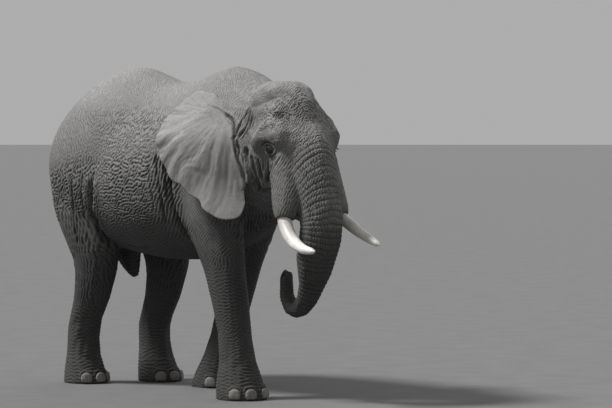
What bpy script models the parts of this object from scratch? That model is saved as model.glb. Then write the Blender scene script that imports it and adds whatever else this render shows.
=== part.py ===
"""African bush elephant bull in a slow walk, head level and a little to its right, trunk tip curled.

Metres. +X is the animal's left, -Y is ahead, +Z is up, and the soles stand on z = 0.
The flesh is lofted in pieces, fused and smoothed into one body, and then parted with thin cuts.
"""

import math

import bmesh
import bpy
from mathutils import Matrix, Vector
from mathutils.bvhtree import BVHTree

# ---------------------------------------------------------------- driving dimensions
GAP = 0.0003  # between neighbours
VOXEL = 0.018  # grain of the fused flesh
SMOOTHING = 7  # passes that round the joins
FLESH_TRIANGLES = 2560
SIDES = 28  # points round a loft's ring
RINGS_PER_SPAN = 5
SIDE_NAMES = {1: "left", -1: "right"}

MATERIALS = {  # colour and roughness
    "hide": ((0.30, 0.285, 0.27), 0.85),
    "ivory": ((0.83, 0.79, 0.70), 0.35),
    "eye": ((0.03, 0.02, 0.015), 0.12),
    "nail": ((0.42, 0.38, 0.33), 0.55),
    "tail_hair": ((0.03, 0.028, 0.026), 0.60),
}
KIND_OF = {"tusk": "ivory", "eye": "eye", "toenail": "nail", "tail_tuft": "tail_hair"}  # the rest is hide

# The head's own frame: (ahead, left, up) from the middle of the line between the eyes.
HEAD_AT = Vector((-0.11, -1.75, 2.19))
HEAD_YAW = math.radians(9)  # to the animal's right

EYE_RADIUS = 0.024
EYE_SUNK = 0.62  # of its radius, how far the ball's middle lies inside the skin
EYE_PLACE = (0.0, 0.0)  # ahead, up

# Torso and neck, rear to front: y, top, bottom, half width, height of the widest line
TORSO = (
    (1.50, 2.24, 1.90, 0.14, 2.07),
    (1.44, 2.45, 1.68, 0.36, 2.08),
    (1.28, 2.67, 1.48, 0.54, 2.04),
    (0.98, 2.86, 1.33, 0.62, 1.98),
    (0.55, 2.95, 1.24, 0.65, 1.92),
    (0.25, 2.88, 1.20, 0.68, 1.88),
    (-0.05, 2.80, 1.18, 0.70, 1.86),
    (-0.40, 2.84, 1.20, 0.66, 1.88),
    (-0.72, 2.93, 1.28, 0.55, 1.94),
    (-1.00, 2.89, 1.42, 0.46, 2.12),
    (-1.25, 2.77, 1.56, 0.43, 2.20),
    (-1.55, 2.62, 1.74, 0.38, 2.20),
)
TORSO_UPPER_ROUNDNESS, TORSO_LOWER_ROUNDNESS = 1.8, 2.2

# Legs from the top down: z, y, x, half width, half length
FORELEG = (
    (2.50, -0.78, 0.22, 0.14, 0.20),
    (2.10, -0.82, 0.34, 0.18, 0.34),
    (1.72, -0.82, 0.37, 0.19, 0.36),
    (1.42, -0.83, 0.350, 0.185, 0.285),
    (1.12, -0.88, 0.335, 0.17, 0.205),
    (0.80, -0.92, 0.325, 0.158, 0.168),
    (0.52, -0.94, 0.320, 0.148, 0.154),
    (0.30, -0.95, 0.320, 0.168, 0.176),
    (0.14, -0.96, 0.320, 0.206, 0.218),
    (0.03, -0.97, 0.320, 0.222, 0.236),
    (-0.04, -0.97, 0.320, 0.222, 0.236),
)
HINDLEG = (
    (2.45, 0.88, 0.22, 0.16, 0.26),
    (2.05, 0.95, 0.34, 0.22, 0.40),
    (1.68, 0.92, 0.38, 0.21, 0.40),
    (1.38, 0.81, 0.375, 0.19, 0.34),
    (1.12, 0.75, 0.36, 0.175, 0.24),
    (0.82, 0.82, 0.34, 0.155, 0.19),
    (0.54, 0.95, 0.32, 0.145, 0.16),
    (0.30, 0.96, 0.315, 0.150, 0.165),
    (0.13, 0.94, 0.31, 0.180, 0.205),
    (0.03, 0.92, 0.31, 0.194, 0.230),
    (-0.04, 0.92, 0.31, 0.194, 0.230),
)
STRIDE_TOP = 2.2  # above this height a step moves nothing
STRIDES = {  # how far each foot is set back from its standing place
    ("front", 1): 0.86,
    ("front", -1): -0.24,
    ("hind", 1): -0.24,
    ("hind", -1): 0.10,
}

# Skull and face as level slices in the head's frame: up, centre ahead, half width, reach ahead, reach behind
SKULL = (
    (0.590, -0.27, 0.12, 0.11, 0.12),
    (0.540, -0.27, 0.22, 0.22, 0.25),
    (0.430, -0.27, 0.285, 0.33, 0.36),
    (0.270, -0.25, 0.330, 0.40, 0.44),
    (0.120, -0.22, 0.365, 0.46, 0.46),
    (-0.020, -0.20, 0.345, 0.46, 0.44),
    (-0.200, -0.21, 0.300, 0.40, 0.38),
    (-0.350, -0.24, 0.240, 0.30, 0.30),
    (-0.440, -0.26, 0.150, 0.20, 0.20),
)
# Tusk sheath: ahead, out, up, radius
SHEATH = (
    (0.00, 0.185, 0.05, 0.10),
    (0.05, 0.205, -0.15, 0.125),
    (0.10, 0.235, -0.35, 0.120),
    (0.15, 0.268, -0.52, 0.105),
    (0.165, 0.280, -0.60, 0.085),
)
# Lower jaw: ahead, up, half width, half height
JAW = (
    (-0.46, -0.24, 0.16, 0.14),
    (-0.34, -0.30, 0.22, 0.20),
    (-0.18, -0.40, 0.18, 0.155),
    (-0.03, -0.50, 0.13, 0.11),
    (0.06, -0.57, 0.085, 0.075),
    (0.11, -0.62, 0.035, 0.035),
)
# Balls of flesh in the head's frame: centre and half lengths, each ahead, out and up
HEAD_BALLS = {
    "cheek": ((-0.28, 0.19, -0.10), (0.25, 0.17, 0.30)),
    "brow": ((-0.05, 0.25, 0.11), (0.20, 0.125, 0.17)),
}
# Trunk: ahead, left, up, half width, half depth
TRUNK = (
    (-0.04, 0.0, 0.20, 0.17, 0.17),
    (0.10, 0.0, 0.02, 0.20, 0.19),
    (0.21, 0.0, -0.18, 0.195, 0.175),
    (0.28, 0.0, -0.38, 0.185, 0.165),
    (0.32, 0.0, -0.58, 0.190, 0.167),
    (0.315, -0.01, -0.75, 0.190, 0.165),
    (0.275, -0.02, -0.90, 0.182, 0.158),
    (0.235, -0.02, -1.04, 0.158, 0.138),
    (0.190, -0.02, -1.17, 0.120, 0.108),
    (0.120, -0.02, -1.29, 0.095, 0.090),
    (0.020, -0.02, -1.375, 0.081, 0.078),
    (-0.085, -0.03, -1.385, 0.073, 0.069),
    (-0.155, -0.035, -1.310, 0.070, 0.063),
    (-0.180, -0.035, -1.200, 0.069, 0.058),
    (-0.180, -0.035, -1.075, 0.067, 0.052),
)
# Tusks: ahead, out, up, radius
TUSKS = {
    -1: (
        (0.09, 0.262, -0.45, 0.060),
        (0.177, 0.285, -0.609, 0.061),
        (0.25, 0.300, -0.704, 0.059),
        (0.349, 0.312, -0.778, 0.054),
        (0.494, 0.320, -0.835, 0.043),
        (0.640, 0.320, -0.852, 0.026),
        (0.680, 0.320, -0.853, 0.011),
    ),
    1: (
        (0.08, 0.255, -0.45, 0.054),
        (0.184, 0.285, -0.574, 0.054),
        (0.307, 0.310, -0.652, 0.051),
        (0.432, 0.335, -0.722, 0.045),
        (0.555, 0.350, -0.774, 0.036),
        (0.640, 0.354, -0.803, 0.024),
        (0.662, 0.355, -0.809, 0.011),
    ),
}

# Tail, down its length: y, x, z, radius
TAIL = (
    (1.38, 0.00, 2.38, 0.075),
    (1.50, 0.00, 2.33, 0.072),
    (1.59, 0.00, 2.18, 0.060),
    (1.62, 0.01, 1.95, 0.047),
    (1.61, 0.05, 1.60, 0.036),
    (1.59, 0.09, 1.30, 0.029),
    (1.58, 0.11, 1.12, 0.025),
)
# Hair at its tip: y, x, z, half width, half depth
TAIL_TUFT = (
    (1.583, 0.105, 1.20, 0.036, 0.034),
    (1.579, 0.115, 1.08, 0.052, 0.042),
    (1.573, 0.130, 0.90, 0.060, 0.045),
    (1.568, 0.140, 0.72, 0.036, 0.028),
    (1.566, 0.142, 0.66, 0.010, 0.009),
)
# Sheath under the belly: y, x, z, half width, half length
BELLY_SHEATH = (
    (0.80, 0.00, 1.30, 0.090, 0.20),
    (0.77, 0.00, 1.18, 0.080, 0.16),
    (0.73, 0.00, 1.09, 0.065, 0.11),
    (0.69, 0.00, 1.02, 0.045, 0.06),
    (0.67, 0.00, 0.985, 0.028, 0.034),
)

# Ear: its front line as (up, y, out, flare) from the top down, and its edge as (behind that line, up)
EAR_ROOT = (
    (2.80, -0.95, 0.22, 0.14),
    (2.62, -1.01, 0.29, 0.24),
    (2.45, -1.12, 0.36, 0.36),
    (2.27, -1.26, 0.41, 0.46),
    (1.84, -1.41, 0.43, 0.49),
    (1.55, -1.50, 0.60, 0.40),
)
EAR_EDGE = (
    (0.17, 2.69),
    (0.09, 2.65),
    (-0.10, 2.44),
    (-0.16, 2.25),
    (-0.10, 2.02),
    (0.01, 1.87),
    (0.00, 1.70),
    (0.02, 1.60),
    (0.13, 1.59),
    (0.26, 1.67),
    (0.31, 1.75),
    (0.40, 1.80),
    (0.46, 1.88),
    (0.54, 1.92),
    (0.61, 2.06),
    (0.65, 2.20),
    (0.63, 2.34),
    (0.57, 2.45),
    (0.49, 2.55),
    (0.40, 2.64),
    (0.30, 2.71),
)
EAR_MIDDLE = (0.24, 2.15)
EAR_FLARE_RUN = 0.35
EAR_THICK, EAR_EDGE_THICK = 0.030, 0.014
EAR_RINGS = 4

# Where the nodes part
UPPER_LEGS = {  # rear and front ends of each block that holds an upper leg
    ("front", 1): (-0.16, -1.00),
    ("front", -1): (-0.52, -1.32),
    ("hind", 1): (1.36, 0.32),
    ("hind", -1): (1.44, 0.44),
}
KNEE = {"front": 0.86, "hind": 0.92}
BLOCK_INNER, BLOCK_OUTER = (0.10, 1.10), (0.90, 1.95)  # out, and the slanted top's height there
ANKLE = 0.21
NECK_CUTS = {"neck": (-0.91, 2.12), "head": (-1.20, 2.15)}  # y, z
NECK_LEAN = 0.21  # forward for each unit down
# Bent cuts through the head: ahead, up and half width at each point
JAW_CUT = (
    (0.143, -0.80, 0.15),
    (0.143, -0.57, 0.15),
    (0.080, -0.47, 0.15),
    (0.000, -0.40, 0.15),
    (-0.06, -0.36, 0.80),
    (-0.28, -0.27, 0.80),
    (-0.90, -0.14, 0.80),
)
MUZZLE_CUT = (
    (0.60, -0.10, 0.80),
    (0.24, -0.20, 0.80),
    (-0.09, -0.26, 0.80),
    (-0.10, -0.60, 0.80),
)
TRUNK_CUTS = {"trunk_2": 4.55, "trunk_3": 6.4, "trunk_4": 8.4, "trunk_5": 10.6}  # along its rows
TAIL_CUTS = {"tail_upper": 2.08, "tail_lower": 1.62}

# Toenails: degrees from straight ahead on each foot
NAILS = {"front": (-58, -21, 21, 58), "hind": (-40, 0, 40)}
NAIL_HEIGHT = 0.058
NAIL_SIZE = (0.046, 0.028, 0.047)  # half lengths across, outward and up


# ---------------------------------------------------------------- lofts
def in_head(ahead, left, up):
    """A point of the head's frame in the model's frame."""
    forward = Vector((-math.sin(HEAD_YAW), -math.cos(HEAD_YAW), 0))
    leftward = Vector((math.cos(HEAD_YAW), -math.sin(HEAD_YAW), 0))
    return HEAD_AT + forward * ahead + leftward * left + Vector((0, 0, up))


def smooth_rows(rows, per_span=RINGS_PER_SPAN):
    """Rows between and including the given ones, on Catmull-Rom curves through each column."""
    found = []
    last = len(rows) - 1
    for i in range(last):
        a, b, c, d = (rows[max(0, min(last, i + k))] for k in (-1, 0, 1, 2))
        for step in range(per_span):
            t = step / per_span
            found.append(
                tuple(
                    0.5 * (2 * q + (r - p) * t + (2 * p - 5 * q + 4 * r - s) * t * t
                           + (3 * q - p - 3 * r + s) * t ** 3)
                    for p, q, r, s in zip(a, b, c, d)
                )
            )
    return [*found, tuple(rows[last])]


def oval(centre, across, along, widths, lengths, upper=2.0, lower=2.0):
    """A ring round centre. widths and lengths are the reaches on the minus and plus sides."""
    ring = []
    for k in range(SIDES):
        turn = 2 * math.pi * k / SIDES
        c, s = math.cos(turn), math.sin(turn)
        power = 2 / (upper if s > 0 else lower)
        x = math.copysign(abs(c) ** power, c)
        y = math.copysign(abs(s) ** power, s)
        ring.append(centre + across * x * widths[c > 0] + along * y * lengths[s > 0])
    return ring


def loft(name, rings):
    """A closed mesh object through the rings, with a fan at each end."""
    shape = bmesh.new()
    rows = [[shape.verts.new(p) for p in ring] for ring in rings]
    for lower, upper in zip(rows, rows[1:]):
        for k in range(len(lower)):
            n = (k + 1) % len(lower)
            shape.faces.new((lower[k], lower[n], upper[n], upper[k]))
    for row in (rows[0], rows[-1]):
        middle = shape.verts.new(sum((v.co for v in row), Vector()) / len(row))
        for k in range(len(row)):
            shape.faces.new((row[k], row[(k + 1) % len(row)], middle))
    bmesh.ops.recalc_face_normals(shape, faces=shape.faces)
    return new_object(name, shape)


def new_object(name, shape):
    mesh = bpy.data.meshes.new(name)
    shape.to_mesh(mesh)
    shape.free()
    obj = bpy.data.objects.new(name, mesh)
    bpy.context.scene.collection.objects.link(obj)
    return obj


def torso():
    rings = []
    for y, top, bottom, half, widest in smooth_rows(TORSO):
        rings.append(
            oval(
                Vector((0, y, widest)), Vector((1, 0, 0)), Vector((0, 0, 1)),
                (half, half), (widest - bottom, top - widest),
                TORSO_UPPER_ROUNDNESS, TORSO_LOWER_ROUNDNESS,
            )
        )
    return loft("torso_form", rings)


def leg(which, side):
    rings = []
    stride = STRIDES[which, side]
    for z, y, x, half_x, half_y in smooth_rows(FORELEG if which == "front" else HINDLEG):
        swing = max(0.0, 1 - max(z, 0) / STRIDE_TOP)
        centre = Vector((side * x, y + stride * swing, z))
        rings.append(
            oval(centre, Vector((1, 0, 0)), Vector((0, 1, 0)), (half_x, half_x), (half_y, half_y))
        )
    return loft(f"{which}_leg_form_{SIDE_NAMES[side]}", rings)


def skull():
    leftward = in_head(0, 1, 0) - in_head(0, 0, 0)
    forward = in_head(1, 0, 0) - in_head(0, 0, 0)
    rings = [
        oval(in_head(centre, 0, up), leftward, forward, (half, half), (behind, ahead))
        for up, centre, half, ahead, behind in smooth_rows(SKULL)
    ]
    return loft("skull_form", rings)


def tube(name, rows, per_span=RINGS_PER_SPAN, every=1):
    """A loft along a path in the head's frame: ahead, left, up, half width, half depth."""
    rows = smooth_rows(rows, per_span)
    points = [in_head(*row[:3]) for row in rows]
    leftward = in_head(0, 1, 0) - in_head(0, 0, 0)
    rings = []
    for i, row in enumerate(rows):
        run = (points[min(i + 1, len(rows) - 1)] - points[max(i - 1, 0)]).normalized()
        across = (leftward - run * leftward.dot(run)).normalized()
        ring = oval(points[i], across, run.cross(across), (row[3],) * 2, (row[4],) * 2)
        rings.append(ring[::every])
    return loft(name, rings)


def ball(name, centre, sizes):
    """An ellipsoid in the head's frame; sizes are its half lengths ahead, across and up."""
    shape = bmesh.new()
    bmesh.ops.create_uvsphere(shape, u_segments=24, v_segments=14, radius=1)
    for v in shape.verts:
        v.co = in_head(*(c + s * x for c, s, x in zip(centre, sizes, v.co)))
    bmesh.ops.recalc_face_normals(shape, faces=shape.faces)
    return new_object(name, shape)


def hanging(name, rows, per_span=RINGS_PER_SPAN, every=1):
    """A loft of level rings down rows of y, x, z, half width, half length."""
    rings = [
        oval(Vector((x, y, z)), Vector((1, 0, 0)), Vector((0, 1, 0)), (w, w), (d, d))[::every]
        for y, x, z, w, d in smooth_rows(rows, per_span)
    ]
    return loft(name, rings)


# ---------------------------------------------------------------- the fused flesh
def flesh_forms():
    forms = [torso(), skull(), tube("trunk_form", TRUNK)]
    forms.append(hanging("tail_form", [(*row, row[-1]) for row in TAIL]))
    forms.append(hanging("belly_sheath_form", BELLY_SHEATH))
    for side, word in SIDE_NAMES.items():
        forms += [leg("front", side), leg("hind", side)]
        forms.append(tube(f"sheath_form_{word}", [(a, side * o, u, r, r) for a, o, u, r in SHEATH]))
        for name, ((ahead, out, up), size) in HEAD_BALLS.items():
            forms.append(ball(f"{name}_form_{word}", (ahead, side * out, up), size))
    forms.append(tube("jaw_form", [(a, 0, up, w, h) for a, up, w, h in JAW]))
    return forms


def apply_modifiers(obj):
    """Bakes an object's modifiers into its mesh."""
    bpy.context.view_layer.update()
    seen = obj.evaluated_get(bpy.context.evaluated_depsgraph_get())
    mesh = bpy.data.meshes.new_from_object(seen)
    obj.modifiers.clear()
    old, obj.data = obj.data, mesh
    bpy.data.meshes.remove(old)


def join(objs, name):
    shape = bmesh.new()
    for obj in objs:
        shape.from_mesh(obj.data)
        bpy.data.objects.remove(obj)
    return new_object(name, shape)


def fused_flesh():
    flesh = join(flesh_forms(), "flesh")
    grain = flesh.modifiers.new("fuse", "REMESH")
    grain.mode = "VOXEL"
    grain.voxel_size = VOXEL
    soften = flesh.modifiers.new("soften", "SMOOTH")
    soften.factor, soften.iterations = 0.5, SMOOTHING
    apply_modifiers(flesh)
    thin = flesh.modifiers.new("thin", "DECIMATE")
    thin.ratio = FLESH_TRIANGLES / sum(len(p.vertices) - 2 for p in flesh.data.polygons)
    apply_modifiers(flesh)
    return flesh


def cut_level_soles(flesh):
    """Every sole becomes flat at z = 0."""
    shape = bmesh.new()
    shape.from_mesh(flesh.data)
    whole = shape.verts[:] + shape.edges[:] + shape.faces[:]
    cut = bmesh.ops.bisect_plane(
        shape, geom=whole, dist=1e-6, plane_co=(0, 0, 0), plane_no=(0, 0, 1), clear_inner=True
    )
    edges = [g for g in cut["geom_cut"] if isinstance(g, bmesh.types.BMEdge)]
    bmesh.ops.holes_fill(shape, edges=edges, sides=0)
    bmesh.ops.recalc_face_normals(shape, faces=shape.faces)
    shape.to_mesh(flesh.data)
    shape.free()


# ---------------------------------------------------------------- eyes, ears and nails
def surface_of(obj):
    shape = bmesh.new()
    shape.from_mesh(obj.data)
    tree = BVHTree.FromBMesh(shape)
    shape.free()
    return tree


def eye(side, surface):
    ahead, up = EYE_PLACE
    outside, middle = in_head(ahead, side * 0.9, up), in_head(ahead, 0, up)
    inward = (middle - outside).normalized()
    skin = surface.ray_cast(outside, inward)[0]
    shape = bmesh.new()
    bmesh.ops.create_uvsphere(shape, u_segments=12, v_segments=8, radius=EYE_RADIUS)
    bmesh.ops.translate(shape, verts=shape.verts, vec=skin + inward * EYE_RADIUS * EYE_SUNK)
    return new_object(f"eye_{SIDE_NAMES[side]}", shape)


def between(rows, height):
    """The row at a height, its first column, on a curve through the rows."""
    rows = smooth_rows(rows, 12)
    for a, b in zip(rows, rows[1:]):
        if a[0] >= height >= b[0]:
            t = (a[0] - height) / (a[0] - b[0])
            return [p + (q - p) * t for p, q in zip(a, b)]
    return rows[0] if height > rows[0][0] else rows[-1]


def ear(side):
    edge = EAR_EDGE
    middle = Vector(EAR_MIDDLE)
    shape = bmesh.new()

    def point(behind, up, share, lift):
        _, y, out, flare = between(EAR_ROOT, up)
        thick = EAR_THICK + (EAR_EDGE_THICK - EAR_THICK) * share
        out += flare * (1 - math.exp(-behind / EAR_FLARE_RUN)) + lift * thick / 2
        return shape.verts.new((side * out, y + behind, up))

    skins = []
    for lift in (-1, 1):
        rows = []
        for ring in range(1, EAR_RINGS + 1):
            share = ring / EAR_RINGS
            rows.append([point(*middle.lerp(Vector(e), share), share, lift) for e in edge])
        hub = point(*middle, 0, lift)
        for inner, outer in zip(rows, rows[1:]):
            for k in range(len(edge)):
                n = (k + 1) % len(edge)
                shape.faces.new((inner[k], inner[n], outer[n], outer[k]))
        for k in range(len(edge)):
            shape.faces.new((hub, rows[0][(k + 1) % len(edge)], rows[0][k]))
        skins.append(rows[-1])
    for k in range(len(edge)):
        n = (k + 1) % len(edge)
        shape.faces.new((skins[0][k], skins[0][n], skins[1][n], skins[1][k]))
    bmesh.ops.recalc_face_normals(shape, faces=shape.faces)
    return new_object(f"ear_{SIDE_NAMES[side]}", shape)


def nail(which, side, number, degrees):
    rows = FORELEG if which == "front" else HINDLEG
    _, y, x, half_x, half_y = between(rows, NAIL_HEIGHT)
    turn = math.radians(degrees)
    y += STRIDES[which, side] * (1 - NAIL_HEIGHT / STRIDE_TOP)
    at = Vector((side * x + half_x * math.sin(turn), y - half_y * math.cos(turn), NAIL_HEIGHT))
    shape = bmesh.new()
    bmesh.ops.create_uvsphere(shape, u_segments=8, v_segments=5, radius=1)
    size = Matrix.Diagonal((*NAIL_SIZE, 1))
    bmesh.ops.transform(
        shape, verts=shape.verts, matrix=Matrix.Translation(at) @ Matrix.Rotation(turn, 4, "Z") @ size
    )
    return new_object(f"toenail_{which}_{SIDE_NAMES[side]}_{number}", shape)


# ---------------------------------------------------------------- parting
def boolean(obj, tool, operation="DIFFERENCE"):
    cut = obj.modifiers.new("cut", "BOOLEAN")
    cut.operation, cut.solver, cut.object = operation, "EXACT", tool
    apply_modifiers(obj)
    bpy.data.objects.remove(tool)


def grown(obj, by=1.6 * GAP):
    """A copy of obj, larger by a gap all round."""
    shape = bmesh.new()
    shape.from_mesh(obj.data)
    shape.normal_update()
    for v in shape.verts:
        v.co += v.normal * by * max(1.0, v.calc_shell_factor())
    return new_object("grown", shape)


def ribbon(name, rows):
    """A sheet one gap thick through rows of ahead, up and half width in the head's frame."""
    shape = bmesh.new()
    grid = [[], [], [], []]
    for i, (ahead, up, half) in enumerate(rows):
        before, after = rows[max(i - 1, 0)], rows[min(i + 1, len(rows) - 1)]
        run = Vector((after[0] - before[0], after[1] - before[1])).normalized() * GAP / 2
        corners = ((-1, -1), (-1, 1), (1, 1), (1, -1))
        for line, (side, lift) in zip(grid, corners):
            place = in_head(ahead - lift * run.y, side * half, up + lift * run.x)
            line.append(shape.verts.new(place))
    for i in range(len(rows) - 1):
        for k in range(4):
            a, b = grid[k], grid[(k + 1) % 4]
            shape.faces.new((a[i], a[i + 1], b[i + 1], b[i]))
    for i in (0, -1):
        shape.faces.new([line[i] for line in grid])
    bmesh.ops.recalc_face_normals(shape, faces=shape.faces)
    return new_object(name, shape)


def slab(centre, normal, half_x, half_other):
    """A plate one gap thick, reaching half_x along X (or nearly) and half_other along its other side."""
    normal = Vector(normal).normalized()
    across = (Vector((1, 0, 0)) - normal * normal.x).normalized()
    turn = Matrix((across, normal.cross(across), normal)).transposed().to_4x4()
    shape = bmesh.new()
    bmesh.ops.create_cube(shape, size=2)
    size = Matrix.Diagonal((half_x, half_other, GAP / 2, 1))
    bmesh.ops.transform(shape, verts=shape.verts, matrix=Matrix.Translation(centre) @ turn @ size)
    return new_object("slab", shape)


def loose_pieces(obj):
    """The closed bodies of obj, as new objects. obj is removed."""
    source = bmesh.new()
    source.from_mesh(obj.data)
    bpy.data.objects.remove(obj)
    left = set(source.verts)
    pieces = []
    while left:
        body, edge = set(), {min(left, key=lambda v: v.index)}
        while edge:
            body |= edge
            edge = {e.other_vert(v) for v in edge for e in v.link_edges} - body
        left -= body
        shape = bmesh.new()
        order = sorted(body, key=lambda v: v.index)
        twin = {v: shape.verts.new(v.co) for v in order}
        for face in source.faces:
            if face.verts[0] in body:
                shape.faces.new([twin[v] for v in face.verts])
        pieces.append(new_object("piece", shape))
    source.free()
    return pieces


def middle_of(obj):
    points = [v.co for v in obj.data.vertices]
    return sum(points, Vector()) / len(points)


def part(obj, tool, name, test):
    """Cuts obj with tool. The piece whose middle gives test the highest value is named and parted off."""
    boolean(obj, tool)
    old, pieces = obj.name, sorted(loose_pieces(obj), key=lambda o: test(middle_of(o)))
    if len(pieces) != 2:
        raise RuntimeError(f"{name} came away in {len(pieces)} pieces")
    pieces[1].name = name
    pieces[0].name = old
    return pieces


def leg_block(which, side, margin=0.0):
    """The block that holds an upper leg, its top slanting up and out."""
    rear, front = UPPER_LEGS[which, side]
    shape = bmesh.new()
    ends = []
    for y in (front - margin, rear + margin):
        (inner, inner_top), (outer, outer_top) = BLOCK_INNER, BLOCK_OUTER
        inner -= margin
        knee = KNEE[which] - margin
        profile = ((inner, knee), (outer, knee), (outer, outer_top + margin), (inner, inner_top + margin))
        ends.append([shape.verts.new((side * x, y, z)) for x, z in profile])
    for end in ends:
        shape.faces.new(end)
    for k in range(4):
        n = (k + 1) % 4
        shape.faces.new((ends[0][k], ends[0][n], ends[1][n], ends[1][k]))
    bmesh.ops.recalc_face_normals(shape, faces=shape.faces)
    return new_object("block", shape)


def part_legs(flesh):
    """Parts the legs off, and gives what is left of the flesh."""
    for which, side in UPPER_LEGS:
        upper = new_object(f"{which}_leg_upper_{SIDE_NAMES[side]}", copied(flesh))
        boolean(upper, leg_block(which, side), operation="INTERSECT")
    for which, side in UPPER_LEGS:
        boolean(flesh, leg_block(which, side, GAP))
    pieces = sorted(loose_pieces(flesh), key=lambda o: middle_of(o).z)
    rest = pieces.pop()
    if len(pieces) != len(UPPER_LEGS):
        raise RuntimeError("the legs didn't come away")
    for piece in pieces:
        middle = middle_of(piece)
        which, side = "front" if middle.y < 0 else "hind", 1 if middle.x > 0 else -1
        piece.name = f"{which}_leg_lower_{SIDE_NAMES[side]}"
        cut = slab((middle.x, middle.y, ANKLE), (0, 0, 1), 0.5, 0.5)
        part(piece, cut, f"{which}_foot_{SIDE_NAMES[side]}", lambda p: -p.z)
    return rest


def part_trunk_and_head(head):
    head, _ = part(head, ribbon("jaw_cut", JAW_CUT), "jaw", lambda p: -p.z)
    head, rest = part(head, ribbon("muzzle_cut", MUZZLE_CUT), "trunk_1", lambda p: -p.z)
    for name, place in TRUNK_CUTS.items():
        ahead, left, up, *_ = row_along(TRUNK, place)
        run = Vector(row_along(TRUNK, place + 0.1)[:3]) - Vector(row_along(TRUNK, place - 0.1)[:3])
        normal = in_head(*run) - in_head(0, 0, 0)
        cut = slab(in_head(ahead, left, up), normal, 0.24, 0.24)
        path = {round(i * 0.1, 1): in_head(*row_along(TRUNK, i * 0.1)[:3]) for i in range(141)}
        rest, off = part(rest, cut, name, lambda p: min(path, key=lambda at: (path[at] - p).length))
        rest = off


def part_neck_and_head(flesh):
    """Parts the neck off, then the head, and gives the torso."""
    left_behind = []
    for name, (y, z) in NECK_CUTS.items():
        cut = slab((0, y, z), (0, -1, NECK_LEAN), 1.2, 1.0)
        behind, flesh = part(flesh, cut, name, lambda p: -p.y)
        left_behind.append(behind)
    part_trunk_and_head(flesh)
    torso = left_behind[0]
    torso.name = "torso"
    return torso


def part_tail(torso):
    rest = torso
    for name, z in TAIL_CUTS.items():
        _, y, x = between([(row[2], *row[:2]) for row in TAIL], z)
        cut = slab((x, y, z), (0, 0, 1), 0.09, 0.09)
        _, rest = part(rest, cut, name, lambda p: p.y - p.z)


# ---------------------------------------------------------------- finish
def row_along(rows, place):
    """The row at a place counted in rows, on the smooth curve through them."""
    fine = 20
    found = smooth_rows(rows, fine)
    return found[round(place * fine)]


def copied(obj):
    shape = bmesh.new()
    shape.from_mesh(obj.data)
    return shape


def material(name):
    found = bpy.data.materials.new(name)
    found.use_nodes = True
    shader = found.node_tree.nodes["Principled BSDF"]
    colour, rough = MATERIALS[name]
    shader.inputs["Base Color"].default_value = (*colour, 1)
    shader.inputs["Roughness"].default_value = rough
    found.diffuse_color = (*colour, 1)
    return found


def finish():
    """Materials, smooth shading, one collection, and the origin under the middle of the whole."""
    places = [v.co for obj in bpy.data.objects for v in obj.data.vertices]
    low = Vector(min(p[i] for p in places) for i in range(3))
    high = Vector(max(p[i] for p in places) for i in range(3))
    middle = (low + high) / 2
    home = bpy.data.collections.new("african_elephant")
    bpy.context.scene.collection.children.link(home)
    kinds = {name: material(name) for name in MATERIALS}
    for obj in list(bpy.data.objects):
        kind = next((k for word, k in KIND_OF.items() if obj.name.startswith(word)), "hide")
        for v in obj.data.vertices:
            v.co -= Vector((middle.x, middle.y, 0))
        obj.data.materials.clear()
        obj.data.materials.append(kinds[kind])
        obj.data.shade_smooth()
        home.objects.link(obj)
        bpy.context.scene.collection.objects.unlink(obj)


def start():
    for obj in list(bpy.data.objects):
        bpy.data.objects.remove(obj)


def main():
    start()
    flesh = fused_flesh()
    cut_level_soles(flesh)
    surface = surface_of(flesh)
    hard = [hanging("tail_tuft", TAIL_TUFT, 2, 4)]
    for side, rows in TUSKS.items():
        tusk = [(a, side * out, up, r, r) for a, out, up, r in rows]
        hard.append(tube(f"tusk_{SIDE_NAMES[side]}", tusk, 1, 2))
        hard.append(eye(side, surface))
        for which, degrees in NAILS.items():
            hard += [nail(which, side, number, turn) for number, turn in enumerate(degrees, 1)]
        boolean(ear(side), grown(flesh))
    for obj in hard:
        boolean(flesh, grown(obj))
    part_tail(part_neck_and_head(part_legs(flesh)))
    finish()


main()
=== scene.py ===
"""Looks of the African elephant model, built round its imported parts.

One skin stands for all the nodes of flesh. Its form is taken from those nodes, and folds, rings, lids
and wrinkles are added here as geometry. Tusks, eyes, nails and tail hair stay pieces of their own.
Metres in the frame's axes: +X is the animal's left, -Y is ahead, +Z is up.
"""

import math

import bmesh
import bpy
import numpy as np
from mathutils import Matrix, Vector
from mathutils.bvhtree import BVHTree


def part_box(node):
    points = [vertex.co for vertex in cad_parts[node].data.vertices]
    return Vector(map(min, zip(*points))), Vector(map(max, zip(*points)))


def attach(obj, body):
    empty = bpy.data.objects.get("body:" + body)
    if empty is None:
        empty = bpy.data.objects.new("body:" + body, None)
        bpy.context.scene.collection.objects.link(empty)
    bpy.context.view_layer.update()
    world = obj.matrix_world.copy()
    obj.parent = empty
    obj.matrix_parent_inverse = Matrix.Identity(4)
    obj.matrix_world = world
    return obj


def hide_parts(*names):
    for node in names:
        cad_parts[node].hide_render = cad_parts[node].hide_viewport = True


# ---------------------------------------------------------------- sizes
BASE_GRAIN = 0.0133  # of the fused flesh; the skin's own grain is half of it
SIDES = {"left": 1, "right": -1}

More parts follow.
